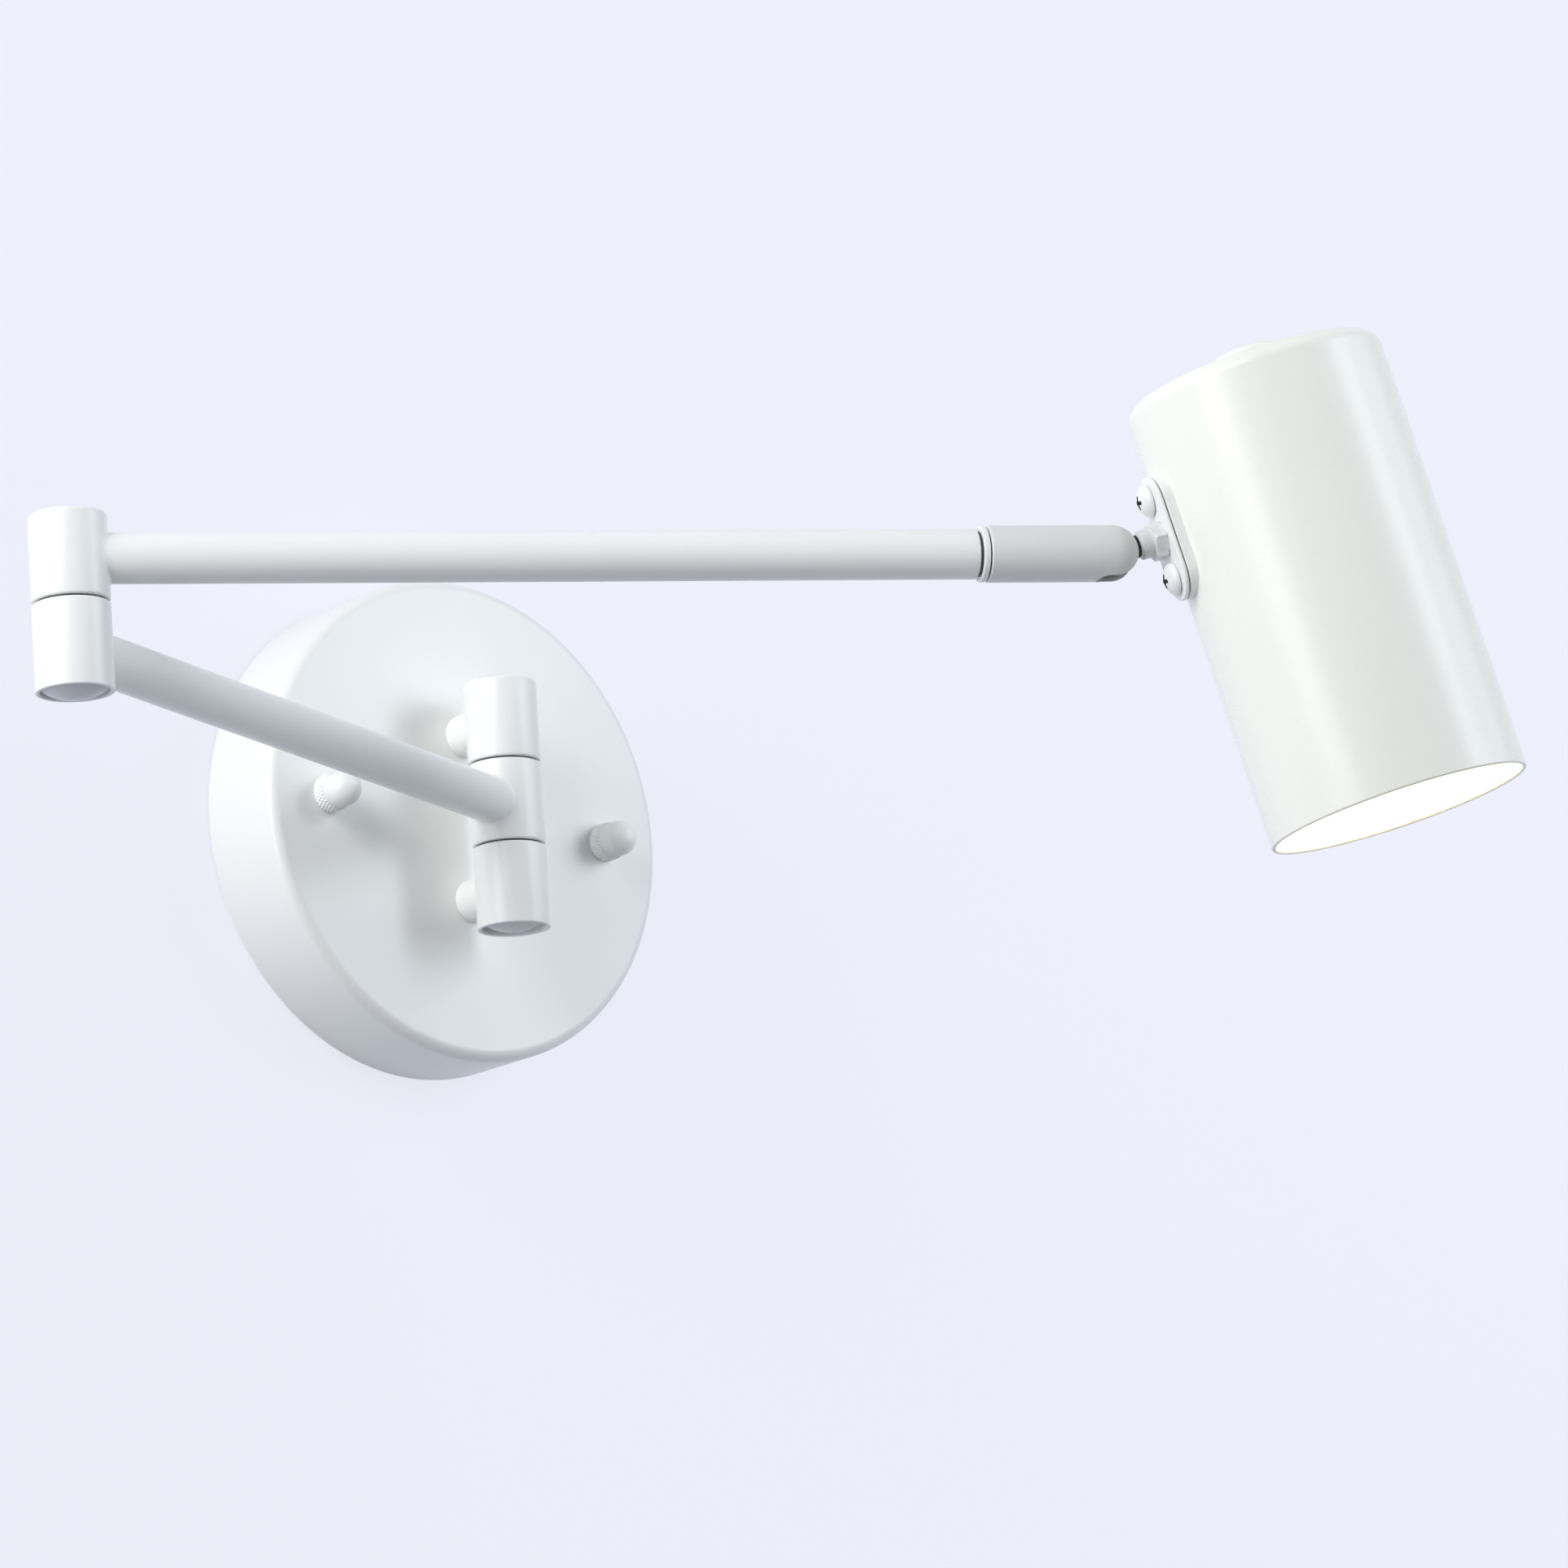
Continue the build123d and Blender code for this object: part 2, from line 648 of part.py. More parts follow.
with BuildPart() as preload_ring:
    with BuildSketch(across(arm_2, preload_back)):
        Circle(sleeve_bore / 2 - seat_clearance)
        Circle(spindle_bore / 2, mode=Mode.SUBTRACT)
    extrude(amount=preload_ring_width)

with BuildPart() as disc_springs:
    rim = sleeve_bore / 2 - seat_clearance
    eye = spindle_bore / 2
    back_spring = (springs_back, springs_back + disc_spring_height, -1)
    front_spring = (seat_back, seat_back - disc_spring_height, 1)
    for rim_place, eye_place, lean in (back_spring, front_spring):
        with BuildSketch(lengthwise(arm_2)):
            with BuildLine():
                Polyline(
                    (rim_place, rim),
                    (rim_place - lean * disc_spring_thickness, rim),
                    (eye_place, eye),
                    (eye_place + lean * disc_spring_thickness, eye),
                    close=True,
                )
            make_face()
        revolve(axis=Axis(arm_2.origin, arm_2.x_dir))

with BuildPart() as ball_seat:
    with BuildSketch(across(arm_2, seat_back)):
        Circle(sleeve_bore / 2 - seat_clearance)
        Circle(spindle_bore / 2, mode=Mode.SUBTRACT)
    extrude(amount=ball_seat_length)
    with BuildSketch(lengthwise(ball)):
        with BuildLine():
            CenterArc((0, 0), ball_radius + running_clearance, 0, 180)
            Line((-ball_radius - running_clearance, 0), (ball_radius + running_clearance, 0))
        make_face()
    revolve(axis=Axis(ball.origin, ball.x_dir), mode=Mode.SUBTRACT)

# ---- ball stud: ball, neck, hexagon and the shank that passes through the bracket and shade ----
stem_end = inner_nut_face + stem_nut_height
with BuildPart() as ball_stud:
    with BuildSketch(lengthwise(head)):
        with BuildLine():
            CenterArc((0, 0), ball_radius, 0, 180)
            Line((-ball_radius, 0), (ball_radius, 0))
        make_face()
    revolve(axis=Axis(head.origin, head.x_dir))
    with BuildSketch(across(head, 0)):
        Circle(neck_radius)
    extrude(amount=stem_start)
    with BuildSketch(across(head, stem_start)):
        Circle(stem_diameter / 2)
    extrude(amount=stem_hex_start - stem_start)
    with BuildSketch(across(head, stem_hex_start)):
        RegularPolygon(stem_hex_across_flats / 2, 6, major_radius=False)
    extrude(amount=stem_hex_width)
    with BuildSketch(across(head, bracket_face)):
        Circle(shank_diameter / 2)
    extrude(amount=stem_end - bracket_face)
    with BuildSketch(across(head, -ball_radius)):
        Circle(stem_bore / 2)
    extrude(amount=stem_end + ball_radius, mode=Mode.SUBTRACT)

with BuildPart() as stem_nut:
    with BuildSketch(across(head, inner_nut_face)):
        Circle(stem_nut_diameter / 2)
        Circle(shank_diameter / 2 + seat_clearance, mode=Mode.SUBTRACT)
    extrude(amount=stem_nut_height)

# ---- head bracket: oval saddle plate between the stem and the shade's side ----
screw_heights = (bracket_screw_spacing / 2, -bracket_screw_spacing / 2)
with BuildPart() as head_bracket:
    with BuildSketch(across(head, bracket_face)):
        SlotOverall(bracket_length, bracket_width, rotation=90)
    extrude(amount=2 * bracket_thickness)
    front_rim = head_bracket.faces().sort_by(Axis(head.origin, head.x_dir)).first.outer_wire()
    fillet(front_rim.edges(), bracket_edge_radius)
    with BuildSketch(shade_frame.offset(-bracket_length)):
        Circle(shade_radius + seat_clearance)
    extrude(amount=2 * bracket_length, mode=Mode.SUBTRACT)
    with BuildSketch(across(head, bracket_face)):
        Circle(shank_diameter / 2 + running_clearance)
    extrude(amount=2 * bracket_thickness, mode=Mode.SUBTRACT)
    for screw_height in screw_heights:
        with BuildSketch(across(head, bracket_face, screw_height)):
            Circle(bracket_screw_diameter / 2 + screw_hole_clearance)
        extrude(amount=2 * bracket_thickness, mode=Mode.SUBTRACT)

# ---- bracket screws: pan heads with a cross recess, and the nuts inside the shade ----
bracket_nut_face = shade_axis_distance - math.sqrt(
    shade_inner_radius**2 - (bracket_nut_across_flats / math.sqrt(3)) ** 2
)
screw_length = bracket_nut_face + bracket_nut_height - bracket_face
with BuildPart() as bracket_screws:
    for screw_height in screw_heights:
        screw = Plane(
            origin=head.origin + head.x_dir * bracket_face + head.z_dir * screw_height,
            x_dir=head.x_dir,
            z_dir=head.z_dir,
        )
        with BuildSketch(lengthwise(screw)):
            with BuildLine():
                Polyline(
                    (-pan_head_height, 0),
                    (screw_length, 0),
                    (screw_length, bracket_screw_diameter / 2),
                    (0, bracket_screw_diameter / 2),
                    (0, pan_head_diameter / 2),
                    (-pan_head_rim, pan_head_diameter / 2),
                )
                TangentArc(
                    (-pan_head_height, 0), (-pan_head_rim, pan_head_diameter / 2), tangent=(0, 1)
                )
            make_face()
        revolve(axis=Axis(screw.origin, screw.x_dir))
        with BuildSketch(across(screw, -pan_head_height)):
            Rectangle(recess_span, recess_width)
            Rectangle(recess_width, recess_span)
        extrude(amount=recess_depth, mode=Mode.SUBTRACT)

with BuildPart() as bracket_nuts:
    for screw_height in screw_heights:
        with BuildSketch(across(head, bracket_nut_face, screw_height)):
            RegularPolygon(bracket_nut_across_flats / 2, 6, major_radius=False)
            Circle(bracket_screw_diameter / 2 + seat_clearance, mode=Mode.SUBTRACT)
        extrude(amount=bracket_nut_height)

# ---- shade: spun aluminium cup, closed behind and open at the mouth ----
shade_length = shade_above_stem + shade_below_stem
with BuildPart() as shade:
    with BuildSketch(shade_frame.offset(-shade_below_stem)):
        Circle(shade_radius)
    extrude(amount=shade_length)
    shade_axis = Axis(shade_frame.origin, shade_frame.z_dir)
    fillet(outer_edges(shade.part, shade_axis, shade_radius).last, shade_edge_radius)
    offset(amount=-shade_wall, openings=shade.faces().sort_by(shade_axis).first)
    fillet(outer_edges(shade.part, shade_axis, shade_radius).first, shade_lip_radius)
    with BuildSketch(across(head, bracket_face)):
        Circle(shank_diameter / 2 + running_clearance)
    extrude(amount=shade_radius, mode=Mode.SUBTRACT)
    for screw_height in screw_heights:
        with BuildSketch(across(head, bracket_face, screw_height)):
            Circle(bracket_screw_diameter / 2 + screw_hole_clearance)
        extrude(amount=shade_radius, mode=Mode.SUBTRACT)
    with BuildSketch(shade_frame):
        Circle(nipple_diameter / 2 + seat_clearance)
    extrude(amount=shade_above_stem, mode=Mode.SUBTRACT)

# ---- rear cap and the threaded nipple that hang the lampholder in the shade ----
holder_base = shade_above_stem - shade_wall
with BuildPart() as holder_nipple:
    with BuildSketch(shade_frame.offset(holder_base - nipple_seat)):
        Circle(nipple_diameter / 2)
        Circle(nipple_bore / 2, mode=Mode.SUBTRACT)
    extrude(amount=nipple_seat + shade_wall + nipple_proud)

with BuildPart() as rear_cap:
    with BuildSketch(lengthwise(shade_frame)):
        with BuildLine():
            Polyline(
                (0, shade_above_stem + rear_cap_height),
                (0, shade_above_stem),
                (rear_cap_diameter / 2, shade_above_stem),
                (rear_cap_diameter / 2, shade_above_stem + rear_cap_rim),
            )
            TangentArc(
                (0, shade_above_stem + rear_cap_height),
                (rear_cap_diameter / 2, shade_above_stem + rear_cap_rim),
                tangent=(1, 0),
            )
        make_face()
    revolve(axis=shade_axis)
    with BuildSketch(shade_frame.offset(shade_above_stem)):
        Circle(nipple_diameter / 2 + seat_clearance)
    extrude(amount=nipple_proud + seat_clearance, mode=Mode.SUBTRACT)

# ---- lampholder: moulded body with grip grooves and a deep cavity for the bulb's cap ----
holder_mouth = holder_base - holder_length
with BuildPart() as lampholder:
    with BuildSketch(shade_frame.offset(holder_mouth)):
        Circle(holder_diameter / 2)
    extrude(amount=holder_length)
    fillet(outer_edges(lampholder.part, shade_axis, holder_diameter / 2).last, holder_shoulder_radius)
    for groove in range(1, holder_groove_count + 1):
        with BuildSketch(shade_frame.offset(holder_mouth + groove * holder_groove_pitch)):
            Circle(holder_diameter / 2)
            Circle(holder_diameter / 2 - holder_groove_depth, mode=Mode.SUBTRACT)
        extrude(amount=holder_groove_width, mode=Mode.SUBTRACT)
    with BuildSketch(shade_frame.offset(holder_mouth)):
        Circle(holder_cavity_diameter / 2)
    extrude(amount=holder_cavity_depth, mode=Mode.SUBTRACT)
    with BuildSketch(shade_frame.offset(holder_base - nipple_seat)):
        Circle(nipple_diameter / 2 + seat_clearance)
    extrude(amount=nipple_seat, mode=Mode.SUBTRACT)

# ---- bulb: screw cap with its end contact, and a round glass blown onto it ----
cap_top = holder_mouth + holder_cavity_depth - bulb_contact_height
cap_rim = cap_top + bulb_contact_height - bulb_cap_length
with BuildPart() as bulb_cap:
    with BuildSketch(shade_frame.offset(cap_rim)):
        Circle(bulb_cap_diameter / 2)
    extrude(amount=cap_top - cap_rim)
    with BuildSketch(shade_frame.offset(cap_rim)):
        Circle(bulb_cap_diameter / 2 - bulb_cap_wall)
    extrude(amount=cap_top - cap_rim - bulb_contact_height, mode=Mode.SUBTRACT)
    with BuildSketch(shade_frame.offset(cap_top)):
        Circle(bulb_contact_diameter / 2)
    extrude(amount=bulb_contact_height)

globe_radius = bulb_diameter / 2
globe_centre = cap_rim - bulb_length + globe_radius
glass_neck_end = cap_rim - bulb_neck_length
shoulder_x = globe_radius * math.sin(math.radians(bulb_shoulder_angle))
shoulder_y = globe_centre + globe_radius * math.cos(math.radians(bulb_shoulder_angle))
inner_share = 1 - glass_thickness / globe_radius
inner_neck = bulb_cap_diameter / 2 - glass_thickness
with BuildPart() as bulb_glass:
    with BuildSketch(lengthwise(shade_frame)):
        with BuildLine():
            Line((inner_neck, cap_rim), (bulb_cap_diameter / 2, cap_rim))
            Line((bulb_cap_diameter / 2, cap_rim), (bulb_cap_diameter / 2, glass_neck_end))
            Line((bulb_cap_diameter / 2, glass_neck_end), (shoulder_x, shoulder_y))
            CenterArc((0, globe_centre), globe_radius, 90 - bulb_shoulder_angle, bulb_shoulder_angle - 180)
            Line((0, globe_centre - globe_radius), (0, globe_centre - globe_radius * inner_share))
            CenterArc(
                (0, globe_centre),
                globe_radius * inner_share,
                -90,
                180 - bulb_shoulder_angle,
            )
            Line(
                (
                    shoulder_x * inner_share,
                    globe_centre + (shoulder_y - globe_centre) * inner_share,
                ),
                (inner_neck, glass_neck_end),
            )
            Line((inner_neck, glass_neck_end), (inner_neck, cap_rim))
        make_face()
    revolve(axis=shade_axis)

# ---- labels and files ----
pieces = {
    "canopy": canopy,
    "wall_plate": wall_plate,
    "mounting_studs": mounting_studs,
    "cap_nuts": cap_nuts,
    "terminal_block": terminal_block,
    "earth_screw": earth_screw,
    "wall_spigots": wall_spigots,
    "spigot_nuts": spigot_nuts,
    "upper_wall_knuckle": upper_wall_knuckle,
    "lower_wall_knuckle": lower_wall_knuckle,
    "shoulder_pivot_tube": shoulder_pivot_tube,
    "shoulder_pivot_nut": shoulder_pivot_nut,
    "shoulder_washers": shoulder_washers,
    "shoulder_plug": shoulder_plug,
    "shoulder_knuckle": shoulder_knuckle,
    "arm_1_tube": arm_1_tube,
    "elbow_lower_knuckle": elbow_lower_knuckle,
    "elbow_plug": elbow_plug,
    "elbow_upper_knuckle": elbow_upper_knuckle,
    "elbow_pivot_tube": elbow_pivot_tube,
    "elbow_pivot_nut": elbow_pivot_nut,
    "elbow_washer": elbow_washer,
    "arm_2_tube": arm_2_tube,
    "swivel_spindle": swivel_spindle,
    "swivel_washers": swivel_washers,
    "spindle_nut": spindle_nut,
    "swivel_sleeve": swivel_sleeve,
    "sleeve_bush": sleeve_bush,
    "preload_ring": preload_ring,
    "disc_springs": disc_springs,
    "ball_seat": ball_seat,
    "ball_stud": ball_stud,
    "stem_nut": stem_nut,
    "head_bracket": head_bracket,
    "bracket_screws": bracket_screws,
    "bracket_nuts": bracket_nuts,
    "shade": shade,
    "rear_cap": rear_cap,
    "holder_nipple": holder_nipple,
    "lampholder": lampholder,
    "bulb_cap": bulb_cap,
    "bulb_glass": bulb_glass,
}
for piece_name, piece in pieces.items():
    piece.part.label = piece_name
    export_step(piece.part, f"parts/{piece_name}.step")
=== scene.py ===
import json
import math

import bmesh
import bpy
from mathutils import Matrix, Vector


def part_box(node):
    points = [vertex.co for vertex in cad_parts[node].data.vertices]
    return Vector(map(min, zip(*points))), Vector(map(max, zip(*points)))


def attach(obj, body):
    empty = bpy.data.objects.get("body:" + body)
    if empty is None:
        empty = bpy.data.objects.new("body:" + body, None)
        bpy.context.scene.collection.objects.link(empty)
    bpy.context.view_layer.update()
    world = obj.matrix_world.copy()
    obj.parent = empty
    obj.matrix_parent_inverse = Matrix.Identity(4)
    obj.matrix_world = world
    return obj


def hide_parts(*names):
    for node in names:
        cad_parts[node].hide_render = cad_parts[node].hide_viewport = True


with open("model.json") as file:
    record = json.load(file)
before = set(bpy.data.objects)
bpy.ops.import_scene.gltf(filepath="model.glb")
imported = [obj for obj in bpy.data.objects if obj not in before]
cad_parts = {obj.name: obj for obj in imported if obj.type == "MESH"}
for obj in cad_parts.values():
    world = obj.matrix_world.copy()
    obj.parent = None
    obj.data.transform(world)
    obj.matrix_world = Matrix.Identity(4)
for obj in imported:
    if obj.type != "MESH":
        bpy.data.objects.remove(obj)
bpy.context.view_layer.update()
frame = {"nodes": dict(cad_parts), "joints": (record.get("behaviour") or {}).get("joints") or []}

MM = 0.001
UP = Vector((0, 0, 1))

# ---- Canopy ----
# The round cover on the wall: a cup spun from 1.5 mm steel sheet, with a soft 3 mm front edge and
# an open back. It is powder-coated white and held by the two cap nuts and the wall spigots.
canopy_low, canopy_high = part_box("canopy")
CANOPY_RADIUS = (canopy_high.z - canopy_low.z) / 2
CANOPY_DEPTH = canopy_high.y - canopy_low.y
CANOPY_SHEET = 1.5 * MM
CANOPY_EDGE = 3.0 * MM
CANOPY_BACK_EDGE = 0.4 * MM
STUD_HOLE = 2.15 * MM
SPIGOT_HOLE = 5.02 * MM
WALL_OUT = Vector((0, -1, 0))


def arc(along, radial, radius, start, end, steps=8):
    """Points of an arc in an outline: (distance along the axis, distance from it)."""
    angles = [math.radians(start + (end - start) * i / steps) for i in range(steps + 1)]
    return [(along + radius * math.cos(a), radial + radius * math.sin(a)) for a in angles]


def link(name, mesh, body, *nodes):
    """Puts a finished mesh in the scene, on its body and in place of its CAD nodes."""
    piece = bpy.data.objects.new(name, mesh)
    bpy.context.scene.collection.objects.link(piece)
    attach(piece, body)
    if nodes:
        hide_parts(*nodes)
    return piece


def smooth(mesh, sharp_above=35):
    """Smooth shading that keeps the edges sharper than this many degrees."""
    mesh.polygons.foreach_set("use_smooth", [True] * len(mesh.polygons))
    mesh.set_sharp_from_angle(angle=math.radians(sharp_above))


def turn(form, outline, origin, axis, steps=128, side=None, flats=()):
    """Turns an outline about an axis into a closed skin, and adds it to the form. The outline's
    points that are listed in flats lie on a hexagon of that size, with a corner at the side."""
    side = side or axis.orthogonal().normalized()
    across = axis.cross(side)
    rings = []
    for number, (along, radial) in enumerate(outline):
        centre = origin + axis * along
        if radial < 1e-7:
            rings.append([form.verts.new(centre)])
            continue
        ring = []
        for i in range(steps):
            angle = 2 * math.pi * i / steps
            reach = radial
            if number in flats:
                from_flat = angle % (math.pi / 3) - math.pi / 6
                reach = min(radial, flats[number] / 2 / math.cos(from_flat))
            ring.append(form.verts.new(centre + (side * math.cos(angle) + across * math.sin(angle)) * reach))
        rings.append(ring)
    ends_open = len(rings[0]) > 1
    pairs = list(zip(rings, rings[1:] + rings[:1])) if ends_open else list(zip(rings, rings[1:]))
    for near, far in pairs:
        for i in range(steps):
            corners = [near[i % len(near)], near[(i + 1) % len(near)]]
            corners += [far[(i + 1) % len(far)], far[i % len(far)]]
            distinct = list(dict.fromkeys(corners))
            if len(distinct) > 2:
                form.faces.new(distinct)


def finished(form, name, sharp_above=35):
    """The form as a mesh with its faces outward."""
    bmesh.ops.recalc_face_normals(form, faces=form.faces)
    mesh = bpy.data.meshes.new(name)
    form.to_mesh(mesh)
    form.free()
    smooth(mesh, sharp_above)
    return mesh


def turned(name, outline, origin, axis, steps=128):
    """A mesh made by turning one outline."""
    form = bmesh.new()
    turn(form, outline, origin, axis, steps)
    return finished(form, name)


def cut(mesh, *cutters):
    """The mesh with the space of each cutter taken out."""
    held = [bpy.data.objects.new(one.name, one) for one in (mesh, *cutters)]
    for one in held:
        bpy.context.scene.collection.objects.link(one)
    for tool in held[1:]:
        bite = held[0].modifiers.new(tool.name, "BOOLEAN")
        bite.operation = "DIFFERENCE"
        bite.solver = "EXACT"
        bite.object = tool
    graph = bpy.context.evaluated_depsgraph_get()
    result = bpy.data.meshes.new_from_object(held[0].evaluated_get(graph))
    for one in held:
        bpy.data.objects.remove(one)
    result.name = mesh.name
    smooth(result)
    return result


def rod(start, end, radius, origin, axis, steps=64):
    """A plain cylinder along an axis, to cut a hole with."""
    outline = [(start, 0), (start, radius), (end, radius), (end, 0)]
    return turned("cutter", outline, origin, axis, steps)


def linear(colour):
    """A written sRGB colour, such as "f4f4f2", as linear RGBA."""
    parts = [int(colour[i : i + 2], 16) / 255 for i in (0, 2, 4)]
    return [c / 12.92 if c <= 0.04045 else ((c + 0.055) / 1.055) ** 2.4 for c in parts] + [1.0]


def add(tree, kind, settings=None, links=None):
    """Adds a node. Settings name its properties or its inputs, links give each input its source."""
    node = tree.nodes.new(kind)
    for key, value in (settings or {}).items():
        if isinstance(key, str) and hasattr(node, key):
            setattr(node, key, value)
        else:
            node.inputs[key].default_value = value
    for key, source in (links or {}).items():
        tree.links.new(source, node.inputs[key])
    return node


def new_material(name):
    """An empty material with its shader and output."""
    made = bpy.data.materials.new(name)
    made.use_nodes = True
    made.node_tree.nodes.clear()
    shader = add(made.node_tree, "ShaderNodeBsdfPrincipled")
    add(made.node_tree, "ShaderNodeOutputMaterial", links={"Surface": shader.outputs[0]})
    return made, made.node_tree, shader


def noise(tree, size, detail):
    """Noise on Object coordinates, with features about this many millimetres across."""
    place = add(tree, "ShaderNodeTexCoord").outputs["Object"]
    settings = {"Scale": 1 / (size * MM), "Detail": detail}
    return add(tree, "ShaderNodeTexNoise", settings, {"Vector": place}).outputs[0]


def blend(tree, light, dark, share):
    """A colour between two written sRGB colours."""
    ends = {"data_type": "RGBA", 6: linear(light), 7: linear(dark)}
    return add(tree, "ShaderNodeMix", ends, {0: share}).outputs[2]


def powder_coat(name, light, shade, roughness):
    """Baked polyester powder: a closed, satin-gloss skin. The eye gets soft broad highlights,
    broken by an orange peel about 1.4 mm from crest to crest, and a faint unevenness in the white."""
    made, tree, shader = new_material(name)
    colour = blend(tree, light, shade, noise(tree, 45, 3.0))
    peel = noise(tree, 1.4, 1.5)
    specks = noise(tree, 0.25, 1.0)
    gloss = add(
        tree, "ShaderNodeMapRange",
        {"From Min": 0.3, "From Max": 0.7, "To Min": roughness - 0.04, "To Max": roughness + 0.05},
        {"Value": specks},
    )
    bump = add(
        tree, "ShaderNodeBump", {"Strength": 0.12, "Distance": 0.05 * MM}, {"Height": peel}
    )
    tree.links.new(colour, shader.inputs["Base Color"])
    tree.links.new(gloss.outputs[0], shader.inputs["Roughness"])
    tree.links.new(bump.outputs[0], shader.inputs["Normal"])
    shader.inputs["IOR"].default_value = 1.5
    return made


white_powder_coat = powder_coat("white_powder_coat", "f6f7f4", "f1f3f0", 0.34)


def paint(piece, material):
    """Gives a piece its one material."""
    piece.data.materials.clear()
    piece.data.materials.append(material)


inner_edge = CANOPY_EDGE - CANOPY_SHEET
canopy_outline = (
    [(CANOPY_DEPTH, 0)]
    + arc(CANOPY_DEPTH - CANOPY_EDGE, CANOPY_RADIUS - CANOPY_EDGE, CANOPY_EDGE, 0, 90, 12)
    + arc(CANOPY_BACK_EDGE, CANOPY_RADIUS - CANOPY_BACK_EDGE, CANOPY_BACK_EDGE, 90, 180, 4)
    + [(0, CANOPY_RADIUS - CANOPY_SHEET)]
    + arc(CANOPY_DEPTH - CANOPY_EDGE, CANOPY_RADIUS - CANOPY_EDGE, inner_edge, 90, 0, 6)
    + [(CANOPY_DEPTH - CANOPY_SHEET, 0)]
)
STUD_SPAN = 88.9 * MM
STUD_TILT = math.radians(-2.6)
SPIGOT_LEVEL = 21.5 * MM
right_stud = Vector((math.cos(STUD_TILT), 0, math.sin(STUD_TILT))) * STUD_SPAN / 2
canopy_holes = [
    rod(0, 2 * CANOPY_DEPTH, STUD_HOLE, place, WALL_OUT) for place in (-right_stud, right_stud)
]
canopy_holes += [
    rod(0, 2 * CANOPY_DEPTH, SPIGOT_HOLE, UP * level, WALL_OUT) for level in (-SPIGOT_LEVEL, SPIGOT_LEVEL)
]
canopy_skin = turned("spun_canopy", canopy_outline, Vector((0, 0, 0)), WALL_OUT, steps=256)
canopy = link("spun_canopy", cut(canopy_skin, *canopy_holes), "wall_base", "canopy")
paint(canopy, white_powder_coat)

# ---- Wall plate and the fittings behind the canopy ----
# A zinc-plated steel disc that two wall screws hold, with the lock nuts of the spigots, the studs
# for the cap nuts, the terminal block and the earth screw. They show only from behind.


def plated_steel(name, light, dark, roughness, crystal):
    """Electroplated mild steel: a thin metal skin. The eye gets a cool grey gleam with cloudy
    patches a few millimetres across, and no mirror reflection."""
    made, tree, shader = new_material(name)
    cloud = noise(tree, crystal, 4.0)
    colour = blend(tree, light, dark, cloud)
    gloss = add(
        tree, "ShaderNodeMapRange",
        {"From Min": 0.3, "From Max": 0.7, "To Min": roughness - 0.06, "To Max": roughness + 0.08},
        {"Value": cloud},
    )
    tree.links.new(colour, shader.inputs["Base Color"])
    tree.links.new(gloss.outputs[0], shader.inputs["Roughness"])
    shader.inputs["Metallic"].default_value = 1.0
    return made


def moulded(name, light, dark, roughness, grain):
    """Injection-moulded plastic with a spark-eroded surface: an even colour, a dull sheen, and a
    fine grain that breaks the highlights."""
    made, tree, shader = new_material(name)
    grit = noise(tree, grain, 2.0)
    colour = blend(tree, light, dark, noise(tree, 9, 2.0))
    bump = add(
        tree, "ShaderNodeBump", {"Strength": 0.15, "Distance": 0.03 * MM}, {"Height": grit}
    )
    tree.links.new(colour, shader.inputs["Base Color"])
    tree.links.new(bump.outputs[0], shader.inputs["Normal"])
    shader.inputs["Roughness"].default_value = roughness
    return made


zinc_plate = plated_steel("zinc_plated_steel", "b9bcc0", "989ca3", 0.38, 4)
white_nylon = moulded("white_nylon", "e9e9e4", "e0e0da", 0.45, 0.4)
bare_brass = plated_steel("bare_brass", "c9a45c", "b08a45", 0.32, 3)
for node in ("wall_plate", "mounting_studs", "spigot_nuts"):
    paint(frame["nodes"][node], zinc_plate)
paint(frame["nodes"]["terminal_block"], white_nylon)
paint(frame["nodes"]["earth_screw"], bare_brass)

# ---- Cap nuts ----
# Two knurled finger nuts with round ends, turned from steel and coated white with the canopy. They
# screw onto the studs and hold the canopy against the wall plate.
nuts_low, nuts_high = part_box("cap_nuts")
NUT_DIAMETER = 10.0 * MM
NUT_LENGTH = nuts_high.y - nuts_low.y
NUT_COLLAR = 3.8 * MM
NUT_BARREL = NUT_DIAMETER / 2 - 0.5 * MM
NUT_CHAMFER = 0.3 * MM
KNURL_DEPTH = 0.3 * MM
KNURL_SUNK = 0.05 * MM
KNURL_MARGIN = 0.45 * MM
KNURL_AROUND = 32
KNURL_ROWS = 4

collar = NUT_DIAMETER / 2 - KNURL_DEPTH
nut_outline = (
    [(0, 0), (0, collar - NUT_CHAMFER), (NUT_CHAMFER, collar)]
    + [(NUT_COLLAR - NUT_CHAMFER, collar), (NUT_COLLAR, NUT_BARREL)]
    + arc(NUT_LENGTH - NUT_BARREL, 0, NUT_BARREL, 90, 0, 14)[:-1]
    + [(NUT_LENGTH, 0)]
)
form = bmesh.new()
for place in (-right_stud, right_stud):
    turn(form, nut_outline, place + WALL_OUT * CANOPY_DEPTH, WALL_OUT, 64)
nuts = link("turned_cap_nuts", finished(form, "turned_cap_nuts"), "wall_base", "cap_nuts")
paint(nuts, white_powder_coat)


def new_tree(name, inputs):
    """An empty geometry tree with named number inputs."""
    tree = bpy.data.node_groups.new(name, "GeometryNodeTree")
    tree.interface.new_socket("Geometry", in_out="OUTPUT", socket_type="NodeSocketGeometry")
    for label, value in inputs.items():
        kind = "NodeSocketInt" if isinstance(value, int) else "NodeSocketFloat"
        tree.interface.new_socket(label, in_out="INPUT", socket_type=kind)
    return tree, add(tree, "NodeGroupInput")


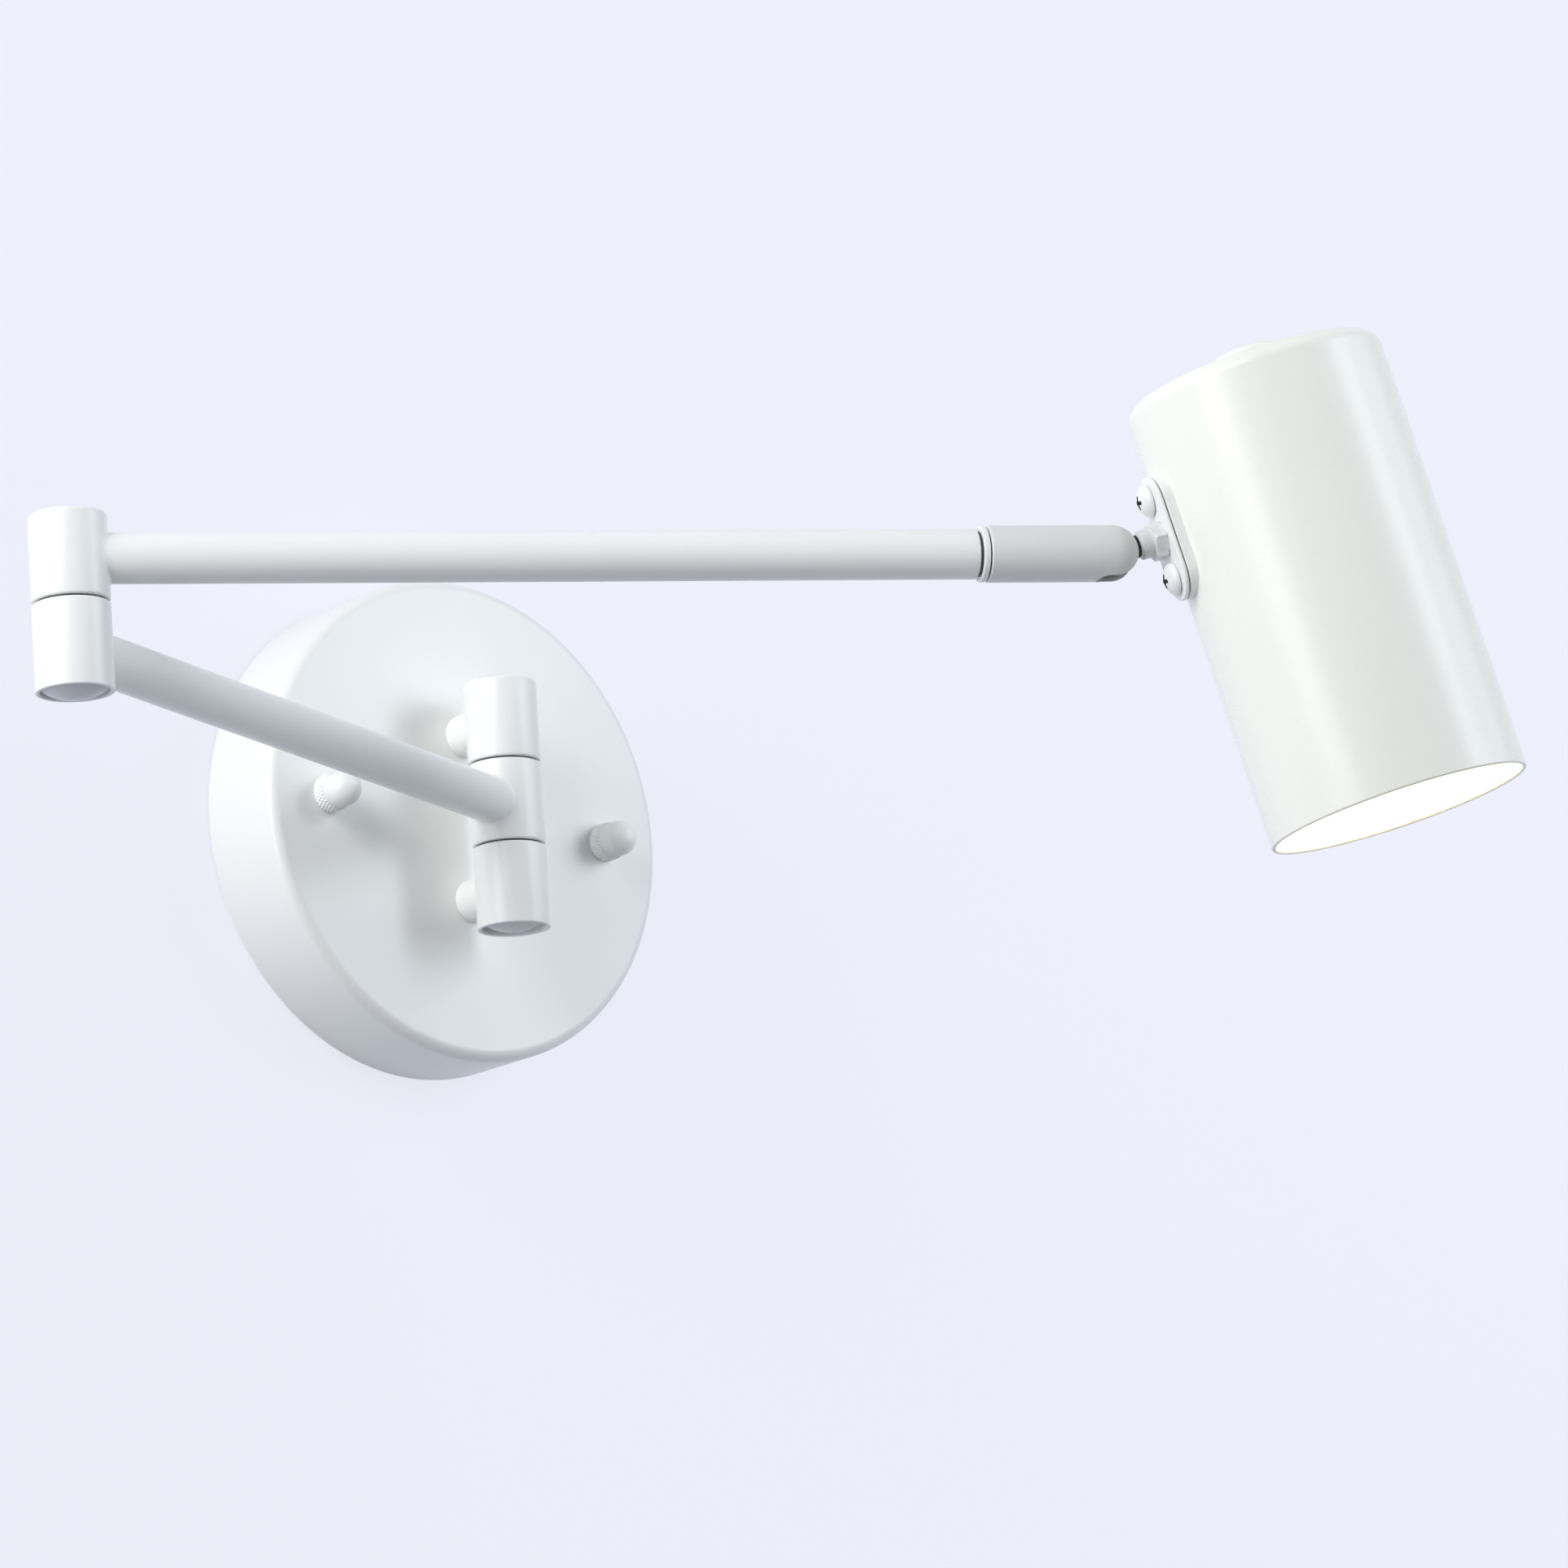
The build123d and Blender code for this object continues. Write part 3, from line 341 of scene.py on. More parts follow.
def made_by(tree, inputs, name, material):
    """Closes the tree, sets its inputs, and returns what it makes as a plain mesh."""
    last = tree.nodes[-1]
    real = add(tree, "GeometryNodeRealizeInstances", links={0: last.outputs[0]})
    faced = add(tree, "GeometryNodeSetMaterial", {"Material": material}, {0: real.outputs[0]})
    add(tree, "NodeGroupOutput", links={0: faced.outputs[0]})
    holder = bpy.data.objects.new(name, bpy.data.meshes.new(name))
    bpy.context.scene.collection.objects.link(holder)
    modifier = holder.modifiers.new(name, "NODES")
    modifier.node_group = tree
    for socket in tree.interface.items_tree:
        if socket.in_out == "INPUT":
            modifier[socket.identifier] = inputs[socket.name]
    graph = bpy.context.evaluated_depsgraph_get()
    mesh = bpy.data.meshes.new_from_object(holder.evaluated_get(graph))
    bpy.data.objects.remove(holder)
    mesh.name = name
    return mesh


# The knurl: rows of four-sided points round each collar, every other row half a step on.
knurl_inputs = {
    "Around": KNURL_AROUND,
    "Rows": KNURL_ROWS,
    "Radius": collar - KNURL_SUNK,
    "Row Step": (NUT_COLLAR - 2 * KNURL_MARGIN) / (KNURL_ROWS - 1),
    "First Row": KNURL_MARGIN,
    "Point Width": NUT_DIAMETER * math.pi / KNURL_AROUND / 2,
    "Point Height": KNURL_DEPTH + KNURL_SUNK,
    "Across": right_stud.x,
    "Rise": right_stud.z,
    "Seat": -CANOPY_DEPTH,
}
tree, given = new_tree("knurl", knurl_inputs)
ring = add(
    tree, "GeometryNodeMeshCircle",
    links={"Vertices": given.outputs["Around"], "Radius": given.outputs["Radius"]},
)
step = add(tree, "ShaderNodeCombineXYZ", links={"Z": given.outputs["Row Step"]})
first = add(tree, "ShaderNodeCombineXYZ", links={"Z": given.outputs["First Row"]})
rows = add(
    tree, "GeometryNodeMeshLine",
    links={"Count": given.outputs["Rows"], "Start Location": first.outputs[0], "Offset": step.outputs[0]},
)
number = add(tree, "GeometryNodeInputIndex")
half_step = add(tree, "ShaderNodeMath", {"operation": "DIVIDE", 0: math.pi}, {1: given.outputs["Around"]})
row_turn = add(
    tree, "ShaderNodeMath", {"operation": "MULTIPLY"}, {0: number.outputs[0], 1: half_step.outputs[0]}
)
row_angles = add(tree, "ShaderNodeCombineXYZ", links={"Z": row_turn.outputs[0]})
placed_rows = add(
    tree, "GeometryNodeInstanceOnPoints",
    links={"Points": rows.outputs[0], "Instance": ring.outputs[0], "Rotation": row_angles.outputs[0]},
)
seats = add(tree, "GeometryNodeRealizeInstances", links={0: placed_rows.outputs[0]})
where = add(tree, "GeometryNodeInputPosition")
parts = add(tree, "ShaderNodeSeparateXYZ", links={0: where.outputs[0]})
bearing = add(
    tree, "ShaderNodeMath", {"operation": "ARCTAN2"}, {0: parts.outputs["Y"], 1: parts.outputs["X"]}
)
outward = add(tree, "ShaderNodeCombineXYZ", {"Y": math.pi / 2}, {"Z": bearing.outputs[0]})
point = add(
    tree, "GeometryNodeMeshCone", {"Vertices": 4, "Radius Top": 0.0},
    {"Radius Bottom": given.outputs["Point Width"], "Depth": given.outputs["Point Height"]},
)
points = add(
    tree, "GeometryNodeInstanceOnPoints",
    links={"Points": seats.outputs[0], "Instance": point.outputs[0], "Rotation": outward.outputs[0]},
)
seat = add(
    tree, "ShaderNodeCombineXYZ",
    links={"X": given.outputs["Across"], "Y": given.outputs["Seat"], "Z": given.outputs["Rise"]},
)
over = add(tree, "ShaderNodeVectorMath", {"operation": "MULTIPLY", 1: (-2, 0, -2)}, {0: seat.outputs[0]})
pair = add(
    tree, "GeometryNodeMeshLine", {"Count": 2},
    {"Start Location": seat.outputs[0], "Offset": over.outputs[0]},
)
add(
    tree, "GeometryNodeInstanceOnPoints", {"Rotation": (math.pi / 2, 0, 0)},
    {"Points": pair.outputs[0], "Instance": points.outputs[0]},
)
knurl = link(
    "cap_nut_knurl", made_by(tree, knurl_inputs, "cap_nut_knurl", white_powder_coat), "wall_base"
)

# ---- Wall spigots ----
# Two short stubs of steel tube, brazed into the wall knuckles. Their threaded tails pass through
# the canopy to a lock nut, and the wires run through them.
joints = {joint["name"]: joint for joint in frame["joints"]}
shoulder = Vector(joints["shoulder_swing"]["pos_m"])
SPIGOT_RADIUS = 5.5 * MM
SPIGOT_THREAD = 5.0 * MM
SPIGOT_BORE = 3.5 * MM
THREAD_LENGTH = 8.0 * MM
THREAD_PITCH = 1.0 * MM
THREAD_DEPTH = 0.5 * MM
SPIGOT_CHAMFER = 0.2 * MM
BRAZE_LAP = 0.03 * MM
SOCKET_FLOOR = 6.2 * MM
spigot_end = -shoulder.y - SOCKET_FLOOR
thread_start = CANOPY_DEPTH - THREAD_LENGTH
thread_turns = int(THREAD_LENGTH / THREAD_PITCH)
thread = []
for turn_number in range(thread_turns):
    thread_foot = thread_start + turn_number * THREAD_PITCH
    thread += [(thread_foot, SPIGOT_THREAD - THREAD_DEPTH), (thread_foot + THREAD_PITCH / 2, SPIGOT_THREAD)]
spigot_outline = (
    [(thread_start, SPIGOT_BORE)]
    + thread
    + [(CANOPY_DEPTH, SPIGOT_THREAD), (CANOPY_DEPTH, SPIGOT_RADIUS - SPIGOT_CHAMFER)]
    + [(CANOPY_DEPTH + SPIGOT_CHAMFER, SPIGOT_RADIUS)]
    + [(spigot_end, SPIGOT_RADIUS), (spigot_end, SPIGOT_BORE)]
)


def band(form, near, far):
    """The faces between two closed rings of as many points."""
    for i in range(len(near)):
        j = (i + 1) % len(near)
        form.faces.new([near[i], near[j], far[j], far[i]])


def braze_fillet(form, tube_radius, knuckle_radius, centre, outward, width=0.8 * MM, steps=96):
    """The concave ring of braze where a tube leaves the round side of a knuckle."""
    level = outward.cross(UP)
    rings = []
    for i in range(steps):
        across, rise = math.cos(2 * math.pi * i / steps), math.sin(2 * math.pi * i / steps)
        meets, spread = [
            math.sqrt(knuckle_radius**2 - (radius * across) ** 2)
            for radius in (tube_radius, tube_radius + width)
        ]
        toe = (meets + width, tube_radius - BRAZE_LAP)
        corner = (meets, tube_radius)
        heel = (spread - BRAZE_LAP, tube_radius + width)
        section = [(meets - width / 2, tube_radius - width / 2)]
        for t in (0, 0.15, 0.3, 0.5, 0.7, 0.85, 1):
            weights = ((1 - t) ** 2, 2 * t * (1 - t), t * t)
            section.append(
                [sum(w * p[k] for w, p in zip(weights, (toe, corner, heel))) for k in (0, 1)]
            )
        spoke = level * across + UP * rise
        rings.append([form.verts.new(centre + outward * along + spoke * radius) for along, radius in section])
    for near, far in zip(rings, rings[1:] + rings[:1]):
        band(form, near, far)


knuckle_low, knuckle_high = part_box("shoulder_knuckle")
KNUCKLE_RADIUS = 9.25 * MM
KNUCKLE_HEIGHT = knuckle_high.z - knuckle_low.z
TO_WALL = Vector((0, 1, 0))
form = bmesh.new()
for level in (SPIGOT_LEVEL, -SPIGOT_LEVEL):
    turn(form, spigot_outline, Vector((0, 0, level)), WALL_OUT, 96)
    braze_fillet(form, SPIGOT_RADIUS, KNUCKLE_RADIUS, shoulder + UP * level, TO_WALL)
spigots = link("brazed_wall_spigots", finished(form, "brazed_wall_spigots"), "wall_base", "wall_spigots")
paint(spigots, white_powder_coat)

# ---- Pivot knuckles ----
# Five like barrels turned from steel bar and drilled from below: three stacked at the wall and two
# at the elbow. The top ones are closed, and the bottom ones have a pocket for a nut and a plug.
PIVOT_BORE = 5.02 * MM
TURNING_BORE = 5.05 * MM
PIVOT_ROOF = 3.5 * MM
POCKET_RADIUS = 8.22 * MM
POCKET_DEPTH = 6.8 * MM
EDGE_RADIUS = 0.6 * MM
TOP_EDGE_RADIUS = 1.2 * MM
WIRE_HOLE = 3.0 * MM
MOUTH_CHAMFER = 0.25 * MM
MOUTH_EDGE_RADIUS = 0.3 * MM
BRAZE_GAP = 0.02 * MM
CUT_OVERLAP = 0.5 * MM
TUBE_RADIUS = 6.0 * MM
half_height = KNUCKLE_HEIGHT / 2
elbow_low = Vector(joints["elbow_swing"]["pos_m"])
elbow_high = elbow_low + UP * SPIGOT_LEVEL
arm_1_out = (elbow_low - shoulder).normalized()
arm_2_out = Vector(joints["head_roll"]["axis"])


def upper_edge(radius):
    """The rounded top edge of a knuckle's outline, from its side inward."""
    return arc(half_height - radius, KNUCKLE_RADIUS - radius, radius, 90, 0, 6)


def lower_edge(radius):
    """The rounded bottom edge of a knuckle's outline, from below outward."""
    return arc(radius - half_height, KNUCKLE_RADIUS - radius, radius, 180, 90, 6)


closed_knuckle = (
    [(half_height - PIVOT_ROOF, 0), (half_height - PIVOT_ROOF, PIVOT_BORE), (-half_height, PIVOT_BORE)]
    + lower_edge(EDGE_RADIUS)
    + upper_edge(TOP_EDGE_RADIUS)
    + [(half_height, 0)]
)
middle_knuckle = (
    [(-half_height, TURNING_BORE)] + lower_edge(EDGE_RADIUS) + upper_edge(EDGE_RADIUS)
    + [(half_height, TURNING_BORE)]
)


def pocket_knuckle(bore):
    """Outline of a knuckle that is open below, with a pocket wider than its bore."""
    return (
        [(-half_height + MOUTH_CHAMFER, POCKET_RADIUS), (-half_height, POCKET_RADIUS + MOUTH_CHAMFER)]
        + lower_edge(MOUTH_EDGE_RADIUS)
        + upper_edge(EDGE_RADIUS)
        + [(half_height, bore), (POCKET_DEPTH - half_height, bore)]
        + [(POCKET_DEPTH - half_height, POCKET_RADIUS)]
    )


def knuckle(name, outline, centre, socket_radius, outward, body, node):
    """A knuckle with its side socket and wire hole, in place of its CAD node."""
    barrel = turned(name, outline, centre, UP, 192)
    socket = rod(SOCKET_FLOOR, 2 * KNUCKLE_RADIUS, socket_radius + BRAZE_GAP, centre, outward)
    wire_hole = rod(TURNING_BORE / 2, SOCKET_FLOOR + CUT_OVERLAP, WIRE_HOLE, centre, outward)
    piece = link(name, cut(barrel, socket, wire_hole), body, node)
    paint(piece, white_powder_coat)


knuckle(
    "closed_wall_knuckle", closed_knuckle, shoulder + UP * SPIGOT_LEVEL, SPIGOT_RADIUS, TO_WALL,
    "wall_base", "upper_wall_knuckle",
)
knuckle(
    "open_wall_knuckle", pocket_knuckle(PIVOT_BORE), shoulder - UP * SPIGOT_LEVEL, SPIGOT_RADIUS, TO_WALL,
    "wall_base", "lower_wall_knuckle",
)
knuckle(
    "turning_knuckle", middle_knuckle, shoulder, TUBE_RADIUS, arm_1_out, "first_arm", "shoulder_knuckle"
)
knuckle(
    "open_elbow_knuckle", pocket_knuckle(TURNING_BORE), elbow_low, TUBE_RADIUS, -arm_1_out,
    "first_arm", "elbow_lower_knuckle",
)
knuckle(
    "closed_elbow_knuckle", closed_knuckle, elbow_high, TUBE_RADIUS, arm_2_out,
    "second_arm", "elbow_upper_knuckle",
)

# ---- Pivots inside the knuckles ----
# Hollow threaded tubes that the wires pass through, each with a slotted lock nut. A dark nylon
# washer parts the knuckles and shows as a thin dark line between them.
# The eye gets a nearly black, dull line.
dark_nylon = moulded("dark_nylon", "3b3b3d", "323234", 0.5, 0.5)
for node in ("shoulder_pivot_tube", "shoulder_pivot_nut", "elbow_pivot_tube", "elbow_pivot_nut"):
    paint(frame["nodes"][node], zinc_plate)
for node in ("shoulder_washers", "elbow_washer"):
    paint(frame["nodes"][node], dark_nylon)

# ---- Domed plugs ----
# Light grey moulded plugs, pressed into the mouths of the two open knuckles. A low dome hides the
# lock nut, and a small groove runs round its foot.
PLUG_RADIUS = 8.2 * MM
PLUG_SKIRT = 1.6 * MM
PLUG_DOME = 2.4 * MM
PLUG_GROOVE = 0.3 * MM
PLUG_STEP = 0.1 * MM
WALL_PLUG_RECESS = 1.8 * MM
ELBOW_PLUG_RECESS = 0.8 * MM
grey_plastic = moulded("light_grey_plastic", "d9dbdc", "d0d2d4", 0.3, 0.6)
DOWN = -UP
dome_foot = PLUG_RADIUS - PLUG_GROOVE
dome_arc = (dome_foot**2 + PLUG_DOME**2) / (2 * PLUG_DOME)
dome_spread = math.degrees(math.asin(dome_foot / dome_arc))
plug_outline = (
    [(-PLUG_SKIRT, 0), (-PLUG_SKIRT, PLUG_RADIUS - PLUG_GROOVE), (PLUG_GROOVE - PLUG_SKIRT, PLUG_RADIUS)]
    + [(0, PLUG_RADIUS), (0, PLUG_RADIUS - PLUG_STEP), (-PLUG_GROOVE, dome_foot)]
    + arc(PLUG_DOME - dome_arc, 0, dome_arc, dome_spread, 0, 20)[:-1]
    + [(PLUG_DOME, 0)]
)
for name, centre, recess, body, node in (
    ("wall_stack_plug", shoulder - UP * SPIGOT_LEVEL, WALL_PLUG_RECESS, "wall_base", "shoulder_plug"),
    ("elbow_stack_plug", elbow_low, ELBOW_PLUG_RECESS, "first_arm", "elbow_plug"),
):
    rim = centre + DOWN * (half_height - recess)
    plug = link(name, turned(name, plug_outline, rim, DOWN, 96), body, node)
    paint(plug, grey_plastic)

# ---- Arms ----
# Two lengths of 12 mm steel tube with a 1 mm wall. The ends sit 3 mm deep in the knuckles and are
# brazed all round, and the far end of the second one takes the swivel spindle.
TUBE_BORE = 5.0 * MM
TUBE_CHAMFER = 0.2 * MM
arm_1_length = (elbow_low - shoulder).length
ball = Vector(joints["head_roll"]["pos_m"])
SWIVEL_LENGTH = 33.4 * MM
arm_2_end = (ball - elbow_high).length - SWIVEL_LENGTH
arm_1_outline = [
    (SOCKET_FLOOR, TUBE_BORE), (SOCKET_FLOOR, TUBE_RADIUS),
    (arm_1_length - SOCKET_FLOOR, TUBE_RADIUS), (arm_1_length - SOCKET_FLOOR, TUBE_BORE),
]
arm_2_outline = [
    (SOCKET_FLOOR, TUBE_BORE), (SOCKET_FLOOR, TUBE_RADIUS), (arm_2_end - TUBE_CHAMFER, TUBE_RADIUS),
    (arm_2_end, TUBE_RADIUS - TUBE_CHAMFER), (arm_2_end, TUBE_BORE),
]
form = bmesh.new()
turn(form, arm_1_outline, shoulder, arm_1_out, 160)
braze_fillet(form, TUBE_RADIUS, KNUCKLE_RADIUS, shoulder, arm_1_out)
braze_fillet(form, TUBE_RADIUS, KNUCKLE_RADIUS, elbow_low, -arm_1_out)
arm_1 = link("first_arm_tube", finished(form, "first_arm_tube"), "first_arm", "arm_1_tube")
paint(arm_1, white_powder_coat)
form = bmesh.new()
turn(form, arm_2_outline, elbow_high, arm_2_out, 160)
braze_fillet(form, TUBE_RADIUS, KNUCKLE_RADIUS, elbow_high, arm_2_out)
arm_2 = link("second_arm_tube", finished(form, "second_arm_tube"), "second_arm", "arm_2_tube")
paint(arm_2, white_powder_coat)

# ---- Swivel spindle ----
# A turned steel spindle, pressed into the end of the second arm. Its collar shows as a thin white
# ring with a dark gap at each side, where the nylon washers sit.
SPINDLE_BORE = 2.5 * MM
SPINDLE_RADIUS = 4.0 * MM
SPINDLE_SEAT = 10.0 * MM
SPINDLE_NUT = 2.6 * MM
SWIVEL_GAP = 0.8 * MM
SLEEVE_GAP = 0.4 * MM
RING_WIDTH = 1.4 * MM
RING_RADIUS = 6.7 * MM
BUSH_LENGTH = 6.0 * MM
WASHER_RADIUS = 5.4 * MM
WASHER_BORE = 4.05 * MM
WASHER_PLAY = 0.02 * MM
PRESS_GAP = 0.02 * MM
NUT_GAP = 0.02 * MM
ring_start = arm_2_end + SWIVEL_GAP
ring_end = ring_start + RING_WIDTH
sleeve_start = ring_end + SLEEVE_GAP
spindle_end = sleeve_start + BUSH_LENGTH + NUT_GAP + SPINDLE_NUT
ring_round = 0.25 * MM
spindle_outline = (
    [(arm_2_end - SPINDLE_SEAT, SPINDLE_BORE), (arm_2_end - SPINDLE_SEAT, TUBE_BORE - PRESS_GAP)]
    + [(arm_2_end, TUBE_BORE - PRESS_GAP), (arm_2_end, SPINDLE_RADIUS), (ring_start, SPINDLE_RADIUS)]
    + arc(ring_start + ring_round, RING_RADIUS - ring_round, ring_round, 180, 90, 4)
    + arc(ring_end - ring_round, RING_RADIUS - ring_round, ring_round, 90, 0, 4)
    + [(ring_end, SPINDLE_RADIUS), (spindle_end, SPINDLE_RADIUS), (spindle_end, SPINDLE_BORE)]
)
spindle = link(
    "collared_spindle", turned("collared_spindle", spindle_outline, elbow_high, arm_2_out, 160),
    "second_arm", "swivel_spindle",
)
paint(spindle, white_powder_coat)
form = bmesh.new()
for near, far in ((arm_2_end, ring_start), (ring_end, sleeve_start)):
    near, far = near + WASHER_PLAY, far - WASHER_PLAY
    washer_outline = [(near, WASHER_BORE), (near, WASHER_RADIUS), (far, WASHER_RADIUS), (far, WASHER_BORE)]
    turn(form, washer_outline, elbow_high, arm_2_out, 96)
washers = link("two_swivel_washers", finished(form, "two_swivel_washers"), "second_arm", "swivel_washers")
paint(washers, dark_nylon)
paint(frame["nodes"]["spindle_nut"], zinc_plate)

# ---- Swivel sleeve ----
# A cup turned from steel bar that rolls on the spindle, coated a little greyer than the arms. A slot
# with round ends is milled from its nose down through its lower side, so that the ball can tilt.
SLEEVE_RADIUS = 6.8 * MM
SLEEVE_BORE = 5.8 * MM
NECK_RADIUS = 2.75 * MM
SLOT_HALF = NECK_RADIUS + 0.25 * MM
SLOT_UP = 20
SLOT_DOWN = -100
SLOT_INNER = 4.0 * MM
SLOT_OUTER = 9.0 * MM
SWEEP_STEPS = 40
END_STEPS = 16
SLEEVE_CHAMFER = 0.3 * MM
tilt_axis = Vector(joints["head_tilt"]["axis"])
sleeve_length = (ball - elbow_high).length - sleeve_start
sleeve_back = ball - arm_2_out * sleeve_length
sleeve_outline = (
    [(0, SLEEVE_BORE), (0, SLEEVE_RADIUS - SLEEVE_CHAMFER), (SLEEVE_CHAMFER, SLEEVE_RADIUS)]
    + arc(sleeve_length, 0, SLEEVE_RADIUS, 90, 0, 32)[:-1]
    + [(sleeve_length + SLEEVE_RADIUS, 0), (sleeve_length + SLEEVE_BORE, 0)]
    + arc(sleeve_length, 0, SLEEVE_BORE, 0, 90, 32)[1:]
)


def aimed(degrees):
    """The direction from the ball at this angle above the second arm."""
    angle = math.radians(degrees)
    return arm_2_out * math.cos(angle) + UP * math.sin(angle)


def slot_cutter():
    """The space that the neck sweeps between its two limits, as a closed form."""
    sweep = [SLOT_DOWN + (SLOT_UP - SLOT_DOWN) * i / SWEEP_STEPS for i in range(SWEEP_STEPS + 1)]
    form = bmesh.new()
    loops = []
    for reach in (SLOT_INNER, SLOT_OUTER):
        loop = [ball + aimed(degrees) * reach + tilt_axis * SLOT_HALF for degrees in sweep]
        for limit, sign in ((SLOT_UP, 1), (SLOT_DOWN, -1)):
            past = aimed(limit + 90) * sign
            for i in range(1, END_STEPS):
                bend = math.pi * i / END_STEPS
                swing = tilt_axis * math.cos(bend) * sign + past * math.sin(bend)
                loop.append(ball + aimed(limit) * reach + swing * SLOT_HALF)
            if sign == 1:
                loop += [ball + aimed(degrees) * reach - tilt_axis * SLOT_HALF for degrees in sweep[::-1]]
        loops.append([form.verts.new(point) for point in loop])
    band(form, *loops)
    last = 2 * SWEEP_STEPS + END_STEPS
    for ring in loops:
        for i in range(SWEEP_STEPS):
            form.faces.new([ring[i], ring[i + 1], ring[last - 1 - i], ring[last - i]])
        form.faces.new(ring[SWEEP_STEPS : SWEEP_STEPS + END_STEPS + 1])
        form.faces.new(ring[last:] + [ring[0]])
    return finished(form, "slot_cutter")


sleeve_skin = turned("slotted_sleeve", sleeve_outline, sleeve_back, arm_2_out, 256)
sleeve = link("slotted_sleeve", cut(sleeve_skin, slot_cutter()), "swivel", "swivel_sleeve")
sleeve_powder_coat = powder_coat("sleeve_powder_coat", "e6e7e4", "e1e2df", 0.36)
paint(sleeve, sleeve_powder_coat)
for node in ("sleeve_bush", "ball_seat"):
    paint(frame["nodes"][node], dark_nylon)
for node in ("preload_ring", "disc_springs"):
    paint(frame["nodes"][node], zinc_plate)

# ---- Ball stud ----
# One turned piece: the ball that sits in the sleeve, its neck, a stem with a hexagon for a spanner,
# and a shank that passes through the bracket into the shade. The ball and its neck are bare oiled
# steel, made dark also as a painted shade where the neck leaves the sleeve's mouth, and the rest is
# coated like the sleeve.
BALL_RADIUS = 5.75 * MM
STEM_RADIUS = 3.5 * MM
STEM_START = 7.3 * MM
STEM_BORE = 1.5 * MM
BRACKET_FACE = 13.5 * MM
HEX_WIDTH = 3.2 * MM
HEX_FLATS = 8.5 * MM
HEX_CHAMFER = 0.45 * MM
HEX_PLAY = 0.02 * MM
SHOULDER_RUN = 0.4 * MM
SHOULDER_STEP = 0.3 * MM
SHANK_RADIUS = 3.0 * MM
STEM_END = 20.46 * MM
neck_out = Vector(joints["head_spin"]["axis"])
hex_start = BRACKET_FACE - HEX_WIDTH
hex_end = BRACKET_FACE - HEX_PLAY
hex_corner = HEX_FLATS / 2 / math.cos(math.pi / 6)
neck_meets = math.degrees(math.asin(NECK_RADIUS / BALL_RADIUS))
bore_meets = 180 - math.degrees(math.asin(STEM_BORE / BALL_RADIUS))
ball_arc = arc(0, 0, BALL_RADIUS, bore_meets, neck_meets, 32)
stud_outline = (
    ball_arc
    + [(STEM_START - SHOULDER_RUN, NECK_RADIUS), (STEM_START, NECK_RADIUS + SHOULDER_STEP)]
    + [(STEM_START + SHOULDER_STEP, STEM_RADIUS), (hex_start, STEM_RADIUS)]
    + [(hex_start, HEX_FLATS / 2), (hex_start + HEX_CHAMFER, hex_corner)]
    + [(BRACKET_FACE - HEX_CHAMFER, hex_corner), (hex_end, HEX_FLATS / 2)]
    + [(hex_end, SHANK_RADIUS), (STEM_END, SHANK_RADIUS), (STEM_END, STEM_BORE)]
)
first_flat = len(ball_arc) + 5
hex_points = {first_flat: HEX_FLATS, first_flat + 1: HEX_FLATS}
form = bmesh.new()
turn(form, stud_outline, ball, neck_out, 96, tilt_axis, hex_points)
stud = link("hex_ball_stud", finished(form, "hex_ball_stud"), "ball_stem", "ball_stud")
paint(stud, sleeve_powder_coat)
# Bare steel under oil: the eye gets a nearly black metal with small dull glints. It also serves as
# painted shade: on the neck at the sleeve's mouth and in the screw recesses.
dark_steel_painted_shade = plated_steel("bare_steel_with_painted_shade", "343436", "262628", 0.4, 2)
stud.data.materials.append(dark_steel_painted_shade)
# The ball's and neck's faces take the dark steel, partly bare steel and partly painted shade.
for face in stud.data.polygons:
    face.material_index = int((face.center - ball).length < STEM_START)
paint(frame["nodes"]["stem_nut"], zinc_plate)

# ---- Head bracket ----
# An oval plate with a rounded front edge, on a pad that is hollowed to sit on the round side of the
# shade. The floor of the groove between them is painted grey-brown, a painted shadow line round the plate.
BRACKET_HALF_WIDTH = 7.0 * MM
BRACKET_STRAIGHT = 8.5 * MM
BRACKET_THICKNESS = 3.0 * MM
BRACKET_EDGE = 0.5 * MM
PLATE_SHEET = 0.9 * MM
BRACKET_GROOVE = 0.7 * MM
PAD_START = 1.4 * MM
PAD_EDGE = 0.2 * MM
SADDLE_PLAY = 0.05 * MM
SHANK_PLAY = 0.05 * MM
SCREW_PLAY = 0.15 * MM
HOLE_REACH = 20 * MM
FACE_MARGIN = 0.05 * MM
SCREW_SPACING = 20.0 * MM
SCREW_RADIUS = 2.0 * MM
SHADE_RADIUS = 32.0 * MM
head_up = neck_out.cross(tilt_axis)
shade_centre = ball + neck_out * (BRACKET_FACE + BRACKET_THICKNESS + SHADE_RADIUS)


def oval(depth, inset, steps=32):
    """Points of the plate's outline at this depth behind its face, drawn in by the inset."""
    points = []
    for sign in (1, -1):
        centre = ball + neck_out * (BRACKET_FACE + depth) + head_up * sign * BRACKET_STRAIGHT
        for i in range(steps + 1):
            angle = math.pi * i / steps
            swing = tilt_axis * math.cos(angle) * sign + head_up * math.sin(angle) * sign
            points.append(centre + swing * (BRACKET_HALF_WIDTH - inset))
    return points


